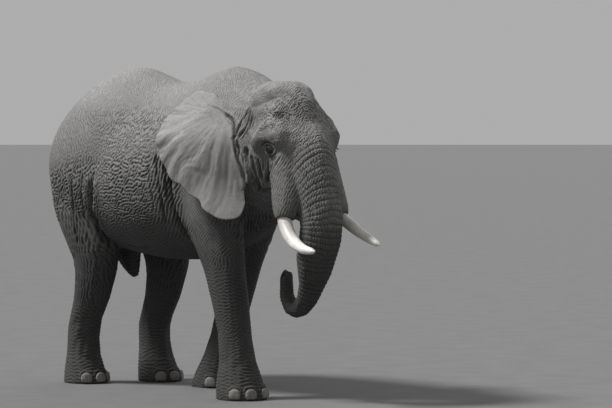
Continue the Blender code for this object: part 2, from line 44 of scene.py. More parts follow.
# The trunk's middle line in the head's frame, as in the solids: ahead, left, up, half width
TRUNK = (
    (-0.04, 0.0, 0.20, 0.17),
    (0.10, 0.0, 0.02, 0.20),
    (0.21, 0.0, -0.18, 0.195),
    (0.28, 0.0, -0.38, 0.185),
    (0.32, 0.0, -0.58, 0.190),
    (0.315, -0.01, -0.75, 0.190),
    (0.275, -0.02, -0.90, 0.182),
    (0.235, -0.02, -1.04, 0.158),
    (0.190, -0.02, -1.17, 0.120),
    (0.120, -0.02, -1.29, 0.095),
    (0.020, -0.02, -1.375, 0.081),
    (-0.085, -0.03, -1.385, 0.073),
    (-0.155, -0.035, -1.310, 0.070),
    (-0.180, -0.035, -1.200, 0.069),
    (-0.180, -0.035, -1.075, 0.067),
)
# Tusks in the head's frame, as in the solids: ahead, out, up, radius
TUSKS = {
    "right": (
        (0.09, 0.262, -0.45, 0.060),
        (0.177, 0.285, -0.609, 0.061),
        (0.25, 0.300, -0.704, 0.059),
        (0.349, 0.312, -0.778, 0.054),
        (0.494, 0.320, -0.835, 0.043),
        (0.640, 0.320, -0.852, 0.026),
        (0.680, 0.320, -0.853, 0.011),
    ),
    "left": (
        (0.08, 0.255, -0.45, 0.054),
        (0.184, 0.285, -0.574, 0.054),
        (0.307, 0.310, -0.652, 0.051),
        (0.432, 0.335, -0.722, 0.045),
        (0.555, 0.350, -0.774, 0.036),
        (0.640, 0.354, -0.803, 0.024),
        (0.662, 0.355, -0.809, 0.011),
    ),
}
# Ear: its front line as (up, behind the eyes, out, flare), and its edge as (behind that line, up)
EAR_ROOT = (
    (2.80, 0.80, 0.22, 0.14),
    (2.62, 0.74, 0.29, 0.24),
    (2.45, 0.63, 0.36, 0.36),
    (2.27, 0.49, 0.41, 0.46),
    (1.84, 0.34, 0.43, 0.49),
    (1.55, 0.25, 0.60, 0.40),
)
EAR_EDGE = (
    (0.17, 2.69), (0.09, 2.65), (-0.10, 2.44), (-0.16, 2.25), (-0.10, 2.02), (0.01, 1.87), (0.00, 1.70),
    (0.02, 1.60), (0.13, 1.59), (0.26, 1.67), (0.31, 1.75), (0.40, 1.80), (0.46, 1.88), (0.54, 1.92),
    (0.61, 2.06), (0.65, 2.20), (0.63, 2.34), (0.57, 2.45), (0.49, 2.55), (0.40, 2.64), (0.30, 2.71),
)
EAR_MIDDLE = (0.24, 2.15)
EAR_FLARE_RUN = 0.35
EAR_THICK, EAR_EDGE_THICK = 0.030, 0.014
EAR_RINGS, EAR_STEPS, EAR_ROOT_STEPS = 56, 20, 12  # steps lie between neighbouring points of a line
EAR_RIM_RINGS = 1.5  # outer rings over which the rim is rounded
EAR_FAN = (0.02, 2.52)  # where the ear's folds meet, behind its front line and up
EAR_FOLDS, EAR_FOLD_DEPTH = 27, 0.018  # folds in a turn of 2 pi radians
EAR_VEINS, EAR_VEIN_DEPTH = 3.1, 0.16  # veins to a fold, and their share of its depth
EAR_SWAY = 0.10  # radians by which the folds wander
EAR_FOLDS_FULL = 0.60  # from the fan's middle, where they are full
EAR_FOLDS_LOW = (1.3, 2.1)  # radians from straight down, where they sink to less than half

# Camera: a long lens, level with the animal's eyes
CAMERA_AWAY, CAMERA_AZIMUTH, CAMERA_HEIGHT = 25.0, 40.0, 2.29
CAMERA_ASIDE, CAMERA_PITCH = 1.147, 1.3874  # to the right of the withers, and degrees down
CAMERA_FAR = 3000
LENS, SENSOR = 160.3, 36.0
WITHERS_BACK = 0.4008  # how far behind the frame's origin the camera's turning point lies

# ---------------------------------------------------------------- the head's frame
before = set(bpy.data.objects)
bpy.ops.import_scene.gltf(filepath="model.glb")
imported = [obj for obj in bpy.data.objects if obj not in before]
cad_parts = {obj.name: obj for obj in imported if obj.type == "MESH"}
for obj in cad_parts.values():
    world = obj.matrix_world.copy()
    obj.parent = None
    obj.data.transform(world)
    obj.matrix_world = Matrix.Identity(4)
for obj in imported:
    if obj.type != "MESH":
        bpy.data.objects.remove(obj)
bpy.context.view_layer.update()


def middle_of_node(node):
    low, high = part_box(node)
    return (low + high) / 2


HEAD_AT = (middle_of_node("eye_left") + middle_of_node("eye_right")) / 2
LEFTWARD = (middle_of_node("eye_left") - middle_of_node("eye_right")).normalized()
FORWARD = Vector((0, 0, -1)).cross(LEFTWARD).normalized()
UP = Vector((0, 0, 1))


def in_head(ahead, left, up):
    """A point of the head's frame in the model's frame."""
    return HEAD_AT + FORWARD * ahead + LEFTWARD * left + UP * up


# ---------------------------------------------------------------- numbers and rows
def step(value, low, high):
    """0 below low, 1 above high, smooth between."""
    share = np.clip((value - low) / (high - low), 0, 1)
    return share * share * (3 - 2 * share)


def bell(*gaps):
    """1 where every gap is 0, and almost 0 where one of them is 2."""
    return np.exp(-sum(gap ** 2 for gap in gaps))


def dots(rows, others):
    return np.einsum("ij,ij->i", rows, others)


def unit(rows):
    """The rows at a length of 1."""
    return rows / np.linalg.norm(rows, axis=-1, keepdims=True)


def round_turns(count):
    return np.linspace(0, 2 * np.pi, count, endpoint=False)


def spokes(turns, across, above):
    """Directions at some turns round an axis, from two directions square to it, or from rows of them."""
    return np.cos(turns)[:, None] * across[..., None, :] + np.sin(turns)[:, None] * above[..., None, :]


def smooth_rows(rows, per_span, closed=False):
    """Rows between and including the given ones, on Catmull-Rom curves through each column."""
    found = []
    count = len(rows)
    for i in range(count if closed else count - 1):
        near = [(i + k) % count if closed else max(0, min(count - 1, i + k)) for k in (-1, 0, 1, 2)]
        a, b, c, d = (np.array(rows[k], float) for k in near)
        for number in range(per_span):
            t = number / per_span
            found.append(
                0.5 * (2 * b + (c - a) * t + (2 * a - 5 * b + 4 * c - d) * t * t
                       + (3 * b - a - 3 * c + d) * t ** 3)
            )
    if not closed:
        found.append(np.array(rows[-1], float))
    return np.array(found)


def hashed(cells, seed):
    """A random number from 0 to 1 for each whole-number cell, the same each run."""
    x, y, z = cells.astype(np.int64).astype(np.uint32).T
    found = x * np.uint32(73856093) ^ y * np.uint32(19349663) ^ z * np.uint32(83492791)
    found ^= np.uint32(seed * 2654435761 % 2 ** 32)
    found = (found ^ (found >> 13)) * np.uint32(1274126177)
    found = (found ^ (found >> 16)) * np.uint32(2246822519)
    return (found >> 8) / np.float32(2 ** 24)


def hashed_numbers(numbers, seed):
    return hashed(np.stack([numbers, 0 * numbers, 0 * numbers], 1), seed)


def noise(places, seed=0):
    """Smooth noise from -1 to 1, of grain 1."""
    cells = np.floor(places)
    share = places - cells
    share = share * share * (3 - 2 * share)
    total = 0
    for corner in np.ndindex(2, 2, 2):
        weight = np.prod(np.where(corner, share, 1 - share), axis=1)
        total = total + weight * hashed(cells + corner, seed)
    return 2 * total - 1


def waver(seed, x, y, z=0.0):
    """Noise at places given by their coordinates, each an array or a number."""
    places = np.stack(np.broadcast_arrays(x, y, z), -1)
    return noise(places.reshape(-1, 3), seed).reshape(places.shape[:-1])


# ---------------------------------------------------------------- meshes as arrays
def rows_of(items, key, width, kind=np.float32):
    """One value of each of a mesh's items, as rows."""
    found = np.empty(len(items) * width, kind)
    items.foreach_get(key, found)
    return found.reshape(-1, width)


def points_of(mesh):
    return rows_of(mesh.vertices, "co", 3).astype(float)


def normals_of(mesh):
    return rows_of(mesh.vertex_normals, "vector", 3).astype(float)


def place_points(mesh, points):
    mesh.vertices.foreach_set("co", points.astype(np.float32).ravel())
    mesh.update()


PUSH_BACK = 1.04  # how much of a softening pass the next one undoes, so that nothing shrinks


class Web:
    """The edges of a mesh, for averaging values over each vertex's neighbours."""

    def __init__(self, mesh):
        self.a, self.b = rows_of(mesh.edges, "vertices", 2, np.int32).T
        self.count = len(mesh.vertices)
        ends = np.bincount(self.a, minlength=self.count) + np.bincount(self.b, minlength=self.count)
        self.ends = np.maximum(ends, 1)

    def average(self, values):
        """One pass: the mean of each vertex's neighbours."""
        columns = values.reshape(self.count, -1)
        found = np.empty_like(columns)
        for k, column in enumerate(columns.T):
            total = np.bincount(self.a, column[self.b], self.count)
            total += np.bincount(self.b, column[self.a], self.count)
            found[:, k] = total / self.ends
        return found.reshape(values.shape)

    def soften(self, values, passes, share=0.5):
        """share is how far each pass goes towards the neighbours' mean."""
        if np.ndim(share):
            share = share.reshape(-1, *[1] * (values.ndim - 1))
        for _ in range(passes):
            values = values + share * (self.average(values) - values)
        return values

    def even_out(self, points, passes, share=0.5):
        """Smooths without shrinking: each softening pass is followed by one that pushes back."""
        for _ in range(passes):
            points = self.soften(points, 1, share)
            points = self.soften(points, 1, -PUSH_BACK * share)
        return points


def linked(name, data):
    """A new object in the scene."""
    found = bpy.data.objects.new(name, data)
    bpy.context.scene.collection.objects.link(found)
    return found


def new_object(name, shape):
    mesh = bpy.data.meshes.new(name)
    shape.to_mesh(mesh)
    shape.free()
    return linked(name, mesh)


def apply_modifiers(obj):
    """Bakes an object's modifiers into its mesh."""
    bpy.context.view_layer.update()
    seen = obj.evaluated_get(bpy.context.evaluated_depsgraph_get())
    mesh = bpy.data.meshes.new_from_object(seen)
    obj.modifiers.clear()
    old, obj.data = obj.data, mesh
    bpy.data.meshes.remove(old)


def remesh(obj, grain):
    """Rebuilds a closed body from quads of one size."""
    rebuild = obj.modifiers.new("remesh", "REMESH")
    rebuild.mode = "VOXEL"
    rebuild.voxel_size = grain
    apply_modifiers(obj)


# ---------------------------------------------------------------- the fused flesh
REGIONS = {  # the start of the node's name, for each part of the skin that has a look of its own
    "torso": ("torso",),
    "neck": ("neck",),
    "head": ("head", "jaw", "trunk_1", "eye_"),
    "trunk": ("trunk_",),
    "ear": ("ear_",),
    "tail": ("tail_",),
    "leg": ("front_leg_", "hind_leg_"),
    "foot": ("front_foot_", "hind_foot_", "toenail_"),
}
BEHIND_SKIN = ("eye_", "toenail_")  # hard nodes that are fused too, so that the skin closes behind them
REGION_CELL = 0.02
REGION_PASSES = 14  # over which one region passes into the next
# Passes that round off the solids' facets, in each region
ROUNDING = {"torso": 90, "neck": 60, "head": 14, "trunk": 14, "ear": 14, "tail": 6, "leg": 32, "foot": 9}
ROUND_PASSES, ROUND_TIMES, ROUND_SHARE = 12, 5, 0.63
BROAD_PASSES = 170  # that round the body's widest facets, and as many that give back what these take away
BROAD_SHARE = 0.5
BELLY = (1.15, 1.45)  # heights where the broad rounding starts
LAST_PASSES = 4
SLIVER = 1e-6  # area of the smallest whole quad
JOIN_REACH, JOIN_PASSES = 6, 12


def is_flesh(node):
    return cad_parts[node].material_slots[0].material.name == "hide"


def under_skin():
    """The nodes that the skin closes over, with their objects."""
    return {k: v for k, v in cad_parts.items() if is_flesh(k) or k.startswith(BEHIND_SKIN)}


def fused_flesh():
    """One closed body over the flesh, eyes and nails, without the ears."""
    shape = bmesh.new()
    for node, obj in under_skin().items():
        if not node.startswith("ear_"):
            shape.from_mesh(obj.data)
    bmesh.ops.remove_doubles(shape, verts=shape.verts, dist=1e-5)
    flesh = new_object("skin", shape)
    flesh.data.materials.clear()
    remesh(flesh, BASE_GRAIN)
    return flesh


def region_tree():
    """A search tree over the solids' faces, and the region's number for each face."""
    points, faces, numbers = [], [], []
    for node, obj in under_skin().items():
        region = next(k for k, starts in enumerate(REGIONS.values()) if node.startswith(starts))
        start = len(points)
        points += [v.co.copy() for v in obj.data.vertices]
        faces += [[start + k for k in p.vertices] for p in obj.data.polygons]
        numbers += [region] * len(obj.data.polygons)
    return BVHTree.FromPolygons(points, faces), numbers


def region_shares(mesh):
    """How much each vertex belongs to each region: an array for each region's name.

    Vertices in one small cell of space take the region of the solid that is nearest to one of them.
    """
    tree, numbers = region_tree()
    points = points_of(mesh)
    cells = np.floor((points - points.min(0)) / REGION_CELL).astype(np.int64)
    _, first, cell = np.unique(cells @ (1, 10 ** 4, 10 ** 8), return_index=True, return_inverse=True)
    region = np.array([numbers[tree.find_nearest(Vector(points[k]))[2]] for k in first])
    found = np.zeros((len(points), len(REGIONS)))
    found[np.arange(len(points)), region[cell]] = 1
    found = Web(mesh).soften(found, REGION_PASSES)
    return dict(zip(REGIONS, found.T))


def round_flesh(flesh):
    """Rounds the facets, most where the form is broadest, and refines the mesh."""
    points = points_of(flesh.data)
    web = Web(flesh.data)
    shares = region_shares(flesh.data)
    passes = sum(shares[name] * count for name, count in ROUNDING.items())
    share = np.clip(passes / ROUND_PASSES / ROUND_TIMES, 0, 1) * ROUND_SHARE
    points = web.even_out(points, ROUND_PASSES * ROUND_TIMES, share)
    body = shares["torso"] + 0.5 * shares["neck"]
    broad = BROAD_SHARE * body ** 2 * step(points[:, 2], *BELLY)
    softer = web.soften(points, BROAD_PASSES, broad)
    lost = web.soften(points - softer, BROAD_PASSES, broad)
    place_points(flesh.data, softer + lost * (broad > 0)[:, None])
    remesh(flesh, BASE_GRAIN / 2)
    place_points(flesh.data, Web(flesh.data).even_out(points_of(flesh.data), LAST_PASSES))


# ---------------------------------------------------------------- ears
def ear_fan(behind, up):
    """Distances from the middle of the fan of folds, and turns round it from straight down."""
    gap_back, gap_down = behind - EAR_FAN[0], EAR_FAN[1] - up
    return np.hypot(gap_back, gap_down), np.arctan2(gap_back, gap_down)


def ear_relief(behind, up):
    """How far the ear stands out from its plain curve: folds that hang from its root like a curtain's."""
    away, turn = ear_fan(behind, up)
    sway = EAR_SWAY * waver(31, behind * 5, up * 5)
    size = 0.55 + 0.45 * waver(33, turn * 2.5, away * 2.5)
    folds = np.sin((turn + sway) * EAR_FOLDS)
    veins = np.sin((turn + 2 * sway) * EAR_VEINS * EAR_FOLDS)
    hang = np.clip(away / EAR_FOLDS_FULL, 0, 1) ** 1.6 * (1 - 0.55 * step(turn, *EAR_FOLDS_LOW))
    return hang * size * EAR_FOLD_DEPTH * (folds + EAR_VEIN_DEPTH * veins)


def ear(word, side):
    """A thin folded plate with a rounded rim; its front edge lies inside the head."""
    root = smooth_rows(EAR_ROOT, EAR_ROOT_STEPS)[::-1]
    edge = smooth_rows(EAR_EDGE, EAR_STEPS, closed=True)
    count = len(edge)
    rings = (np.arange(1, EAR_RINGS + 1) / EAR_RINGS)[:, None, None]
    flat = np.array(EAR_MIDDLE) + (edge[None] - EAR_MIDDLE) * rings
    behind, up = flat[..., 0], flat[..., 1]
    share = np.broadcast_to(rings[..., 0], behind.shape)
    from_root, root_out, flare = (np.interp(up, root[:, 0], root[:, k]) for k in (1, 2, 3))
    spread = root_out + flare * (1 - np.exp(-behind / EAR_FLARE_RUN))
    thick = EAR_THICK + (EAR_EDGE_THICK - EAR_THICK) * share
    round_rim = np.sqrt(np.clip((1 - share) * EAR_RINGS / EAR_RIM_RINGS, 0, 1))
    lift = ear_relief(behind, up)
    shape = bmesh.new()
    skins = []
    for layer in (-1, 1):  # the outer skin shares the inner one's last ring
        out = spread + lift + layer * thick * round_rim / 2
        places = np.stack([side * out, HEAD_AT.y + (from_root + behind), up], -1)[:EAR_RINGS - (layer == 1)]
        skins.append([[shape.verts.new(place) for place in ring] for ring in places])
    skins[1].append(skins[0][-1])
    for rows in skins:
        for inner, outer in zip(rows, rows[1:]):
            for k in range(count):
                n = (k + 1) % count
                shape.faces.new((inner[k], inner[n], outer[n], outer[k]))
        hub = shape.verts.new(sum((v.co for v in rows[0]), Vector()) / count)
        for k in range(count):
            shape.faces.new((hub, rows[0][(k + 1) % count], rows[0][k]))
    bmesh.ops.recalc_face_normals(shape, faces=shape.faces)
    return new_object(f"ear_plate_{word}", shape)


def join_ears(flesh):
    for word, side in SIDES.items():
        plate = ear(word, side)
        merge = flesh.modifiers.new("ear", "BOOLEAN")
        merge.operation, merge.solver, merge.object = "UNION", "MANIFOLD", plate
        apply_modifiers(flesh)
        bpy.data.objects.remove(plate)


def soften_joins(flesh):
    """Rounds the line where the ears were fused on: the only faces there that aren't whole quads."""
    marked = np.zeros(len(flesh.data.vertices))
    for face in flesh.data.polygons:
        if len(face.vertices) != 4 or face.area < SLIVER:
            marked[list(face.vertices)] = 1
    web = Web(flesh.data)
    share = np.clip(web.soften(marked, JOIN_REACH) * 3, 0, 1)
    place_points(flesh.data, web.soften(points_of(flesh.data), JOIN_PASSES, share * 0.5))


REFINE_PASSES = 6


def refine(mesh, spots):
    """Splits the faces near each spot in four, once for each of its radii, and evens them out."""
    shape = bmesh.new()
    shape.from_mesh(mesh)
    points = points_of(mesh)
    for middle, radii in spots:
        away = np.linalg.norm(points - np.array(middle), axis=1)
        shape.verts.ensure_lookup_table()
        near = [shape.verts[k] for k in np.nonzero(away < radii[0])[0]]
        for radius in radii:
            near = [v for v in near if (v.co - middle).length < radius]
            edges = list({e for v in near for e in v.link_edges})
            made = bmesh.ops.subdivide_edges(shape, edges=edges, cuts=1, use_grid_fill=True)
            near = list({item for item in made["geom"] if isinstance(item, bmesh.types.BMVert)})
    shape.to_mesh(mesh)
    shape.free()
    points = points_of(mesh)
    share = np.zeros(len(points))
    for middle, radii in spots:
        share[np.linalg.norm(points - np.array(middle), axis=1) < radii[0] * 0.95] = 0.5
    place_points(mesh, Web(mesh).even_out(points, REFINE_PASSES, share))


# ---------------------------------------------------------------- what is pressed into the skin
class Canvas:
    """The skin's vertices as arrays, with the rise and the painted shade in creases gathered for each."""

    def __init__(self, mesh):
        self.mesh = mesh
        self.points = points_of(mesh)
        self.shares = region_shares(mesh)
        self.rise = np.zeros(len(self.points))
        # painted shade in creases, grooves and hollows, which the material darkens
        self.crease_shade = np.zeros(len(self.points))
        self.look_again()

    def look_again(self):
        """Reads the normals, and the places in the head's frame (ahead, left, up) and the body's."""
        self.normals = normals_of(self.mesh)
        gap = self.points - np.array(HEAD_AT)
        self.head = np.stack([gap @ np.array(axis) for axis in (FORWARD, LEFTWARD, UP)], 1)
        self.body = self.points[:, [1, 0, 2]]

    def press(self):
        """Moves the vertices by what was gathered, and starts afresh."""
        self.points += self.normals * self.rise[:, None]
        place_points(self.mesh, self.points)
        self.rise[:] = 0
        self.look_again()

    def darken(self, chosen, dark):
        """Deepens the painted shade in the creases of the chosen vertices."""
        self.crease_shade[chosen] = np.maximum(self.crease_shade[chosen], dark)


# Swellings and hollows on both sides: which frame, middle, reach, and height along the skin's normal.
# In the head's frame a place is ahead, out, up; in the body's it is y, out, z.
SWELLS = {
    "brow": ("head", (0.01, 0.31, 0.115), (0.09, 0.12, 0.055), 0.017),
    "orbit": ("head", (-0.035, 0.34, -0.035), (0.065, 0.12, 0.065), -0.018),
    "before_the_eye": ("head", (0.16, 0.25, 0.01), (0.08, 0.13, 0.09), 0.020),
    "sheath_join": ("head", (0.22, 0.22, -0.42), (0.06, 0.09, 0.22), 0.020),
    "behind_the_eye": ("head", (-0.13, 0.36, 0.03), (0.065, 0.15, 0.085), 0.034),
    "hollow_behind_the_eye": ("head", (-0.12, 0.36, -0.13), (0.06, 0.15, 0.09), -0.018),
    "cheek_hollow": ("head", (-0.12, 0.30, -0.24), (0.09, 0.15, 0.11), -0.025),
    "jaw_hollow": ("head", (-0.20, 0.26, -0.40), (0.09, 0.15, 0.07), -0.030),
    "temple": ("head", (-0.13, 0.25, 0.44), (0.15, 0.12, 0.060), -0.022),
    "temple_foot": ("head", (-0.27, 0.33, 0.24), (0.09, 0.15, 0.11), -0.014),
    "crown": ("head", (-0.20, 0.12, 0.55), (0.25, 0.13, 0.10), 0.010),
    "forehead": ("head", (0.12, 0.0, 0.27), (0.14, 0.10, 0.08), -0.012),
    "nose_bridge": ("head", (0.33, 0.0, 0.02), (0.14, 0.12, 0.13), 0.012),
    "hip_bone": ("body", (1.02, 0.42, 2.56), (0.16, 0.20, 0.15), 0.018),
    "flank": ("body", (0.86, 0.60, 2.12), (0.16, 0.30, 0.22), -0.022),
    "thigh": ("body", (1.18, 0.62, 1.70), (0.22, 0.25, 0.35), 0.020),
    "shoulder_blade": ("body", (-0.48, 0.50, 2.30), (0.10, 0.30, 0.42), 0.022),
    "behind_the_shoulder": ("body", (-0.16, 0.60, 1.90), (0.10, 0.30, 0.40), -0.020),
    "elbow": ("body", (-0.24, 0.50, 1.52), (0.10, 0.20, 0.14), 0.016),
    "spine": ("body", (0.45, 0.0, 2.93), (0.75, 0.045, 0.12), 0.012),
}

# Folds on both sides, seen from the side: points (ahead, up) or (y, z), half width and depth.
# A negative depth is a ridge.
HEAD_FOLDS = (
    (((-0.44, 0.09), (-0.405, 0.00), (-0.385, -0.08), (-0.35, -0.17), (-0.32, -0.26), (-0.28, -0.38)),
     0.014, 0.026),
    (((-0.34, 0.03), (-0.31, -0.07), (-0.275, -0.17), (-0.255, -0.29), (-0.235, -0.40)), 0.027, 0.045),
    (((-0.355, -0.03), (-0.325, -0.14), (-0.29, -0.26)), 0.007, -0.012),
    (((-0.245, -0.03), (-0.225, -0.13), (-0.215, -0.24), (-0.21, -0.33)), 0.013, 0.022),
    (((-0.18, -0.07), (-0.17, -0.15), (-0.175, -0.26)), 0.011, 0.015),
    (((-0.06, -0.09), (-0.11, -0.19), (-0.145, -0.30)), 0.013, 0.022),
    (((0.05, -0.06), (-0.02, -0.16), (-0.07, -0.27), (-0.09, -0.36)), 0.013, 0.022),
    (((0.08, -0.05), (0.03, -0.15), (-0.01, -0.27)), 0.010, 0.011),
    (((0.12, -0.05), (0.08, -0.15), (0.05, -0.26)), 0.009, 0.008),
    (((-0.38, 0.37), (-0.42, 0.28), (-0.445, 0.18), (-0.46, 0.08)), 0.013, 0.022),
    (((-0.33, 0.36), (-0.345, 0.27), (-0.37, 0.18), (-0.42, 0.10)), 0.011, 0.018),
    (((-0.29, 0.30), (-0.30, 0.21), (-0.34, 0.12)), 0.010, 0.014),
    (((-0.36, 0.385), (-0.26, 0.39), (-0.16, 0.42), (-0.06, 0.455)), 0.034, 0.008),
    (((-0.01, 0.40), (-0.03, 0.27), (-0.08, 0.17), (-0.15, 0.09), (-0.24, 0.04)), 0.055, -0.024),
    (((-0.09, -0.38), (-0.15, -0.35), (-0.22, -0.34), (-0.30, -0.37)), 0.016, 0.030),
)
BODY_FOLDS = (
    (((-0.46, 2.585), (-0.57, 2.55), (-0.675, 2.488), (-0.765, 2.435), (-0.82, 2.33), (-0.88, 2.17),
      (-0.93, 2.06)), 0.010, 0.014),
    (((0.88, 1.98), (0.92, 1.80), (0.955, 1.60), (0.95, 1.42), (0.91, 1.30)), 0.032, 0.036),
    (((-0.13, 2.02), (-0.16, 1.80), (-0.19, 1.58), (-0.24, 1.40), (-0.31, 1.26)), 0.024, 0.030),
    (((0.02, 2.20), (-0.02, 2.02), (-0.06, 1.84), (-0.07, 1.66), (-0.06, 1.50)), 0.014, 0.016),
    (((-0.04, 2.24), (-0.09, 2.06), (-0.11, 1.90), (-0.12, 1.72)), 0.012, 0.014),
    (((0.09, 2.08), (0.05, 1.92), (0.02, 1.76), (0.03, 1.62)), 0.012, 0.011),
    (((0.86, 1.36), (0.66, 1.30), (0.45, 1.29), (0.28, 1.31)), 0.022, 0.016),
    (((1.02, 1.95), (1.06, 1.76), (1.07, 1.56)), 0.014, 0.012),
    (((1.20, 1.90), (1.22, 1.70), (1.24, 1.50), (1.20, 1.30)), 0.016, 0.012),
)
FOLD_STEPS = 24  # between neighbouring points of a fold
FOLD_FADE = 0.16  # of a fold's length, at each end
FOLD_SWAY = 0.8  # half widths by which a fold wanders
BANK_PLACE, BANK_WIDTH, BANK_HEIGHT = 2.1, 1.1, 0.30  # in the fold's half widths, and its depths
FULL_DARK = 0.014  # depth from which the painted shade at a fold's bottom is full
OUTSIDE = 1.4  # from the middle: clear of the animal's sides
NEAR_SIDE = 0.10  # a fold's line that falls nearer to the middle than this has missed its own side
FAR = 9.0  # further than anything on the animal


def add_swells(canvas):
    for which, middle, reach, height in SWELLS.values():
        places = canvas.head if which == "head" else canvas.body
        for side in (1,) if middle[1] == 0 else (1, -1):
            gap = (places * (1, side, 1) - middle) / reach
            canvas.rise += height * np.exp(-np.sum(gap * gap, axis=1))


def line_on_skin(points, which, side, tree):
    """A smooth line of places on the skin, through points seen from one side."""
    found = []
    for ahead, up in smooth_rows(points, FOLD_STEPS):
        if which == "head":
            start, inward = in_head(ahead, side * OUTSIDE, up), LEFTWARD * -side
        else:
            start, inward = Vector((side * OUTSIDE, ahead, up)), Vector((-side, 0, 0))
        place = tree.ray_cast(start, inward)[0]
        if place is not None and place.x * side > NEAR_SIDE:
            found.append(place)
    return np.array(found)


def near_line(places, line, reach):
    """For places within reach of a line: their numbers, distances, and share along it."""
    low, high = line.min(0) - reach, line.max(0) + reach
    chosen = np.nonzero(np.all((places > low) & (places < high), axis=1))[0]
    away = np.full(len(chosen), FAR)
    along = np.zeros(len(chosen))
    for k, point in enumerate(line):
        gap = places[chosen] - point
        distance = np.sqrt(dots(gap, gap))
        closer = distance < away
        away[closer] = distance[closer]
        along[closer] = k / (len(line) - 1)
    return chosen, away, along


def add_folds(canvas):
    """Each fold is a groove between two low banks, fading at both ends."""
    tree = BVHTree.FromPolygons(canvas.points.tolist(), [list(p.vertices) for p in canvas.mesh.polygons])
    for which, folds in (("head", HEAD_FOLDS), ("body", BODY_FOLDS)):
        for number, (points, width, depth) in enumerate(folds):
            for side in SIDES.values():
                line = line_on_skin(points, which, side, tree)
                chosen, away, along = near_line(canvas.points, line, 4 * width)
                sway = FOLD_SWAY * noise(canvas.points[chosen] * 11, 40 + number)
                away = np.abs(away + sway * width)
                fade = step(along, 0, FOLD_FADE) * step(1 - along, 0, FOLD_FADE)
                bank = bell((away - BANK_PLACE * width) / (BANK_WIDTH * width))
                canvas.rise[chosen] += depth * fade * (BANK_HEIGHT * bank - bell(away / width))
                # painted shade along each groove's bottom
                if depth > 0:
                    canvas.darken(chosen, fade * bell(away / (0.7 * width)) * min(1.0, depth / FULL_DARK))


# ---------------------------------------------------------------- wrinkles of the body
# Net of wrinkles: region, middle (y, z) and reach of where it holds, slope of the ridges in degrees
# (0 is level, rising ahead), length and width of a cell, and depth
NETS = (
    ("torso", (0.30, 1.85), (0.42, 0.34), 26, 0.044, 0.032, 0.0115),
    ("torso", (0.45, 2.35), (0.50, 0.22), 40, 0.036, 0.027, 0.0060),
    ("torso", (0.40, 2.85), (0.90, 0.28), 66, 0.034, 0.026, 0.0028),
    ("torso", (-0.08, 1.90), (0.17, 0.45), 66, 0.180, 0.042, 0.0140),
    ("torso", (-0.50, 1.75), (0.24, 0.40), -52, 0.110, 0.024, 0.0042),
    ("torso", (-0.45, 2.65), (0.40, 0.35), 60, 0.046, 0.026, 0.0030),
    ("torso", (1.15, 1.85), (0.34, 0.30), 64, 0.044, 0.036, 0.0120),
    ("torso", (1.35, 2.30), (0.40, 0.26), -60, 0.042, 0.028, 0.0042),
    ("torso", (0.35, 1.25), (0.70, 0.20), 12, 0.110, 0.038, 0.0055),
    ("torso", (-0.90, 1.60), (0.20, 0.40), 60, 0.110, 0.032, 0.0055),
    ("neck", (-0.85, 1.80), (0.30, 0.45), 75, 0.130, 0.034, 0.0070),
    ("neck", (-0.75, 2.60), (0.40, 0.30), 70, 0.046, 0.026, 0.0034),
)
LEG_NETS = (  # front or hind, height and its reach, and the rest as above
    ("front", 1.45, 0.40, -50, 0.110, 0.024, 0.0044),
    ("front", 0.95, 0.22, 4, 0.090, 0.030, 0.0055),
    ("front", 0.55, 0.22, -12, 0.070, 0.028, 0.0040),
    ("front", 0.22, 0.14, 0, 0.090, 0.030, 0.0055),
    ("hind", 1.40, 0.35, 78, 0.110, 0.040, 0.0095),
    ("hind", 0.95, 0.22, 70, 0.080, 0.036, 0.0070),
    ("hind", 0.55, 0.22, 12, 0.075, 0.032, 0.0050),
    ("hind", 0.22, 0.14, 0, 0.090, 0.030, 0.0055),
)
FACE_NETS = (  # in the head's frame: middle (ahead, up) and the rest as above
    ((0.04, 0.34), (0.22, 0.20), 10, 0.016, 0.024, 0.0056),
    ((0.16, 0.10), (0.16, 0.14), 40, 0.020, 0.024, 0.0042),
    ((-0.25, 0.52), (0.30, 0.13), 25, 0.032, 0.022, 0.0028),
    ((-0.32, 0.25), (0.16, 0.16), 62, 0.075, 0.030, 0.0050),
    ((-0.22, -0.15), (0.14, 0.20), 74, 0.075, 0.032, 0.0042),
    ((0.03, -0.20), (0.12, 0.20), 58, 0.110, 0.031, 0.0055),
    ((0.16, -0.45), (0.12, 0.22), 68, 0.110, 0.028, 0.0042),
    ((-0.15, -0.50), (0.20, 0.12), 20, 0.055, 0.030, 0.0045),
)
NET_TRAINS = ((-1.0, 0.9), (-0.55, 0.6), (0.0, 0.8), (0.5, 0.7), (1.0, 1.0))  # lean, and share of x
NET_SIZE, NET_SIZE_VARIES, NET_BEND = 0.62, 0.75, 0.8  # of a train's waves; the bend is in waves
NET_SHARP, NET_FULL = 1.15, 0.45  # the larger, the sharper the creases and the fuller the ridges
NET_LEVEL = 0.62  # of the ridges, where the skin neither rises nor sinks
NET_DARK, NET_FULL_DARK = (0.10, 0.82), 0.0075  # levels where creases get painted shade, and depth where it is full
NET_FAINTEST = 0.004  # share of a net that still counts
ROUND_SPINE = 9e-4  # square metres, so that the waves pass smoothly over the middle plane
LEG_RADIUS = 0.19
LEG_REACH = (0.26, 0.38)  # from a leg's middle line, where its wrinkles give way to the body's
LEG_SLICE = 0.06  # height of the slices in which a leg's middle is found
BETWEEN_LEGS = 0.68  # how far back the front and hind legs part
LEGS_END = 1.25  # above this height a leg's middle line goes on straight up


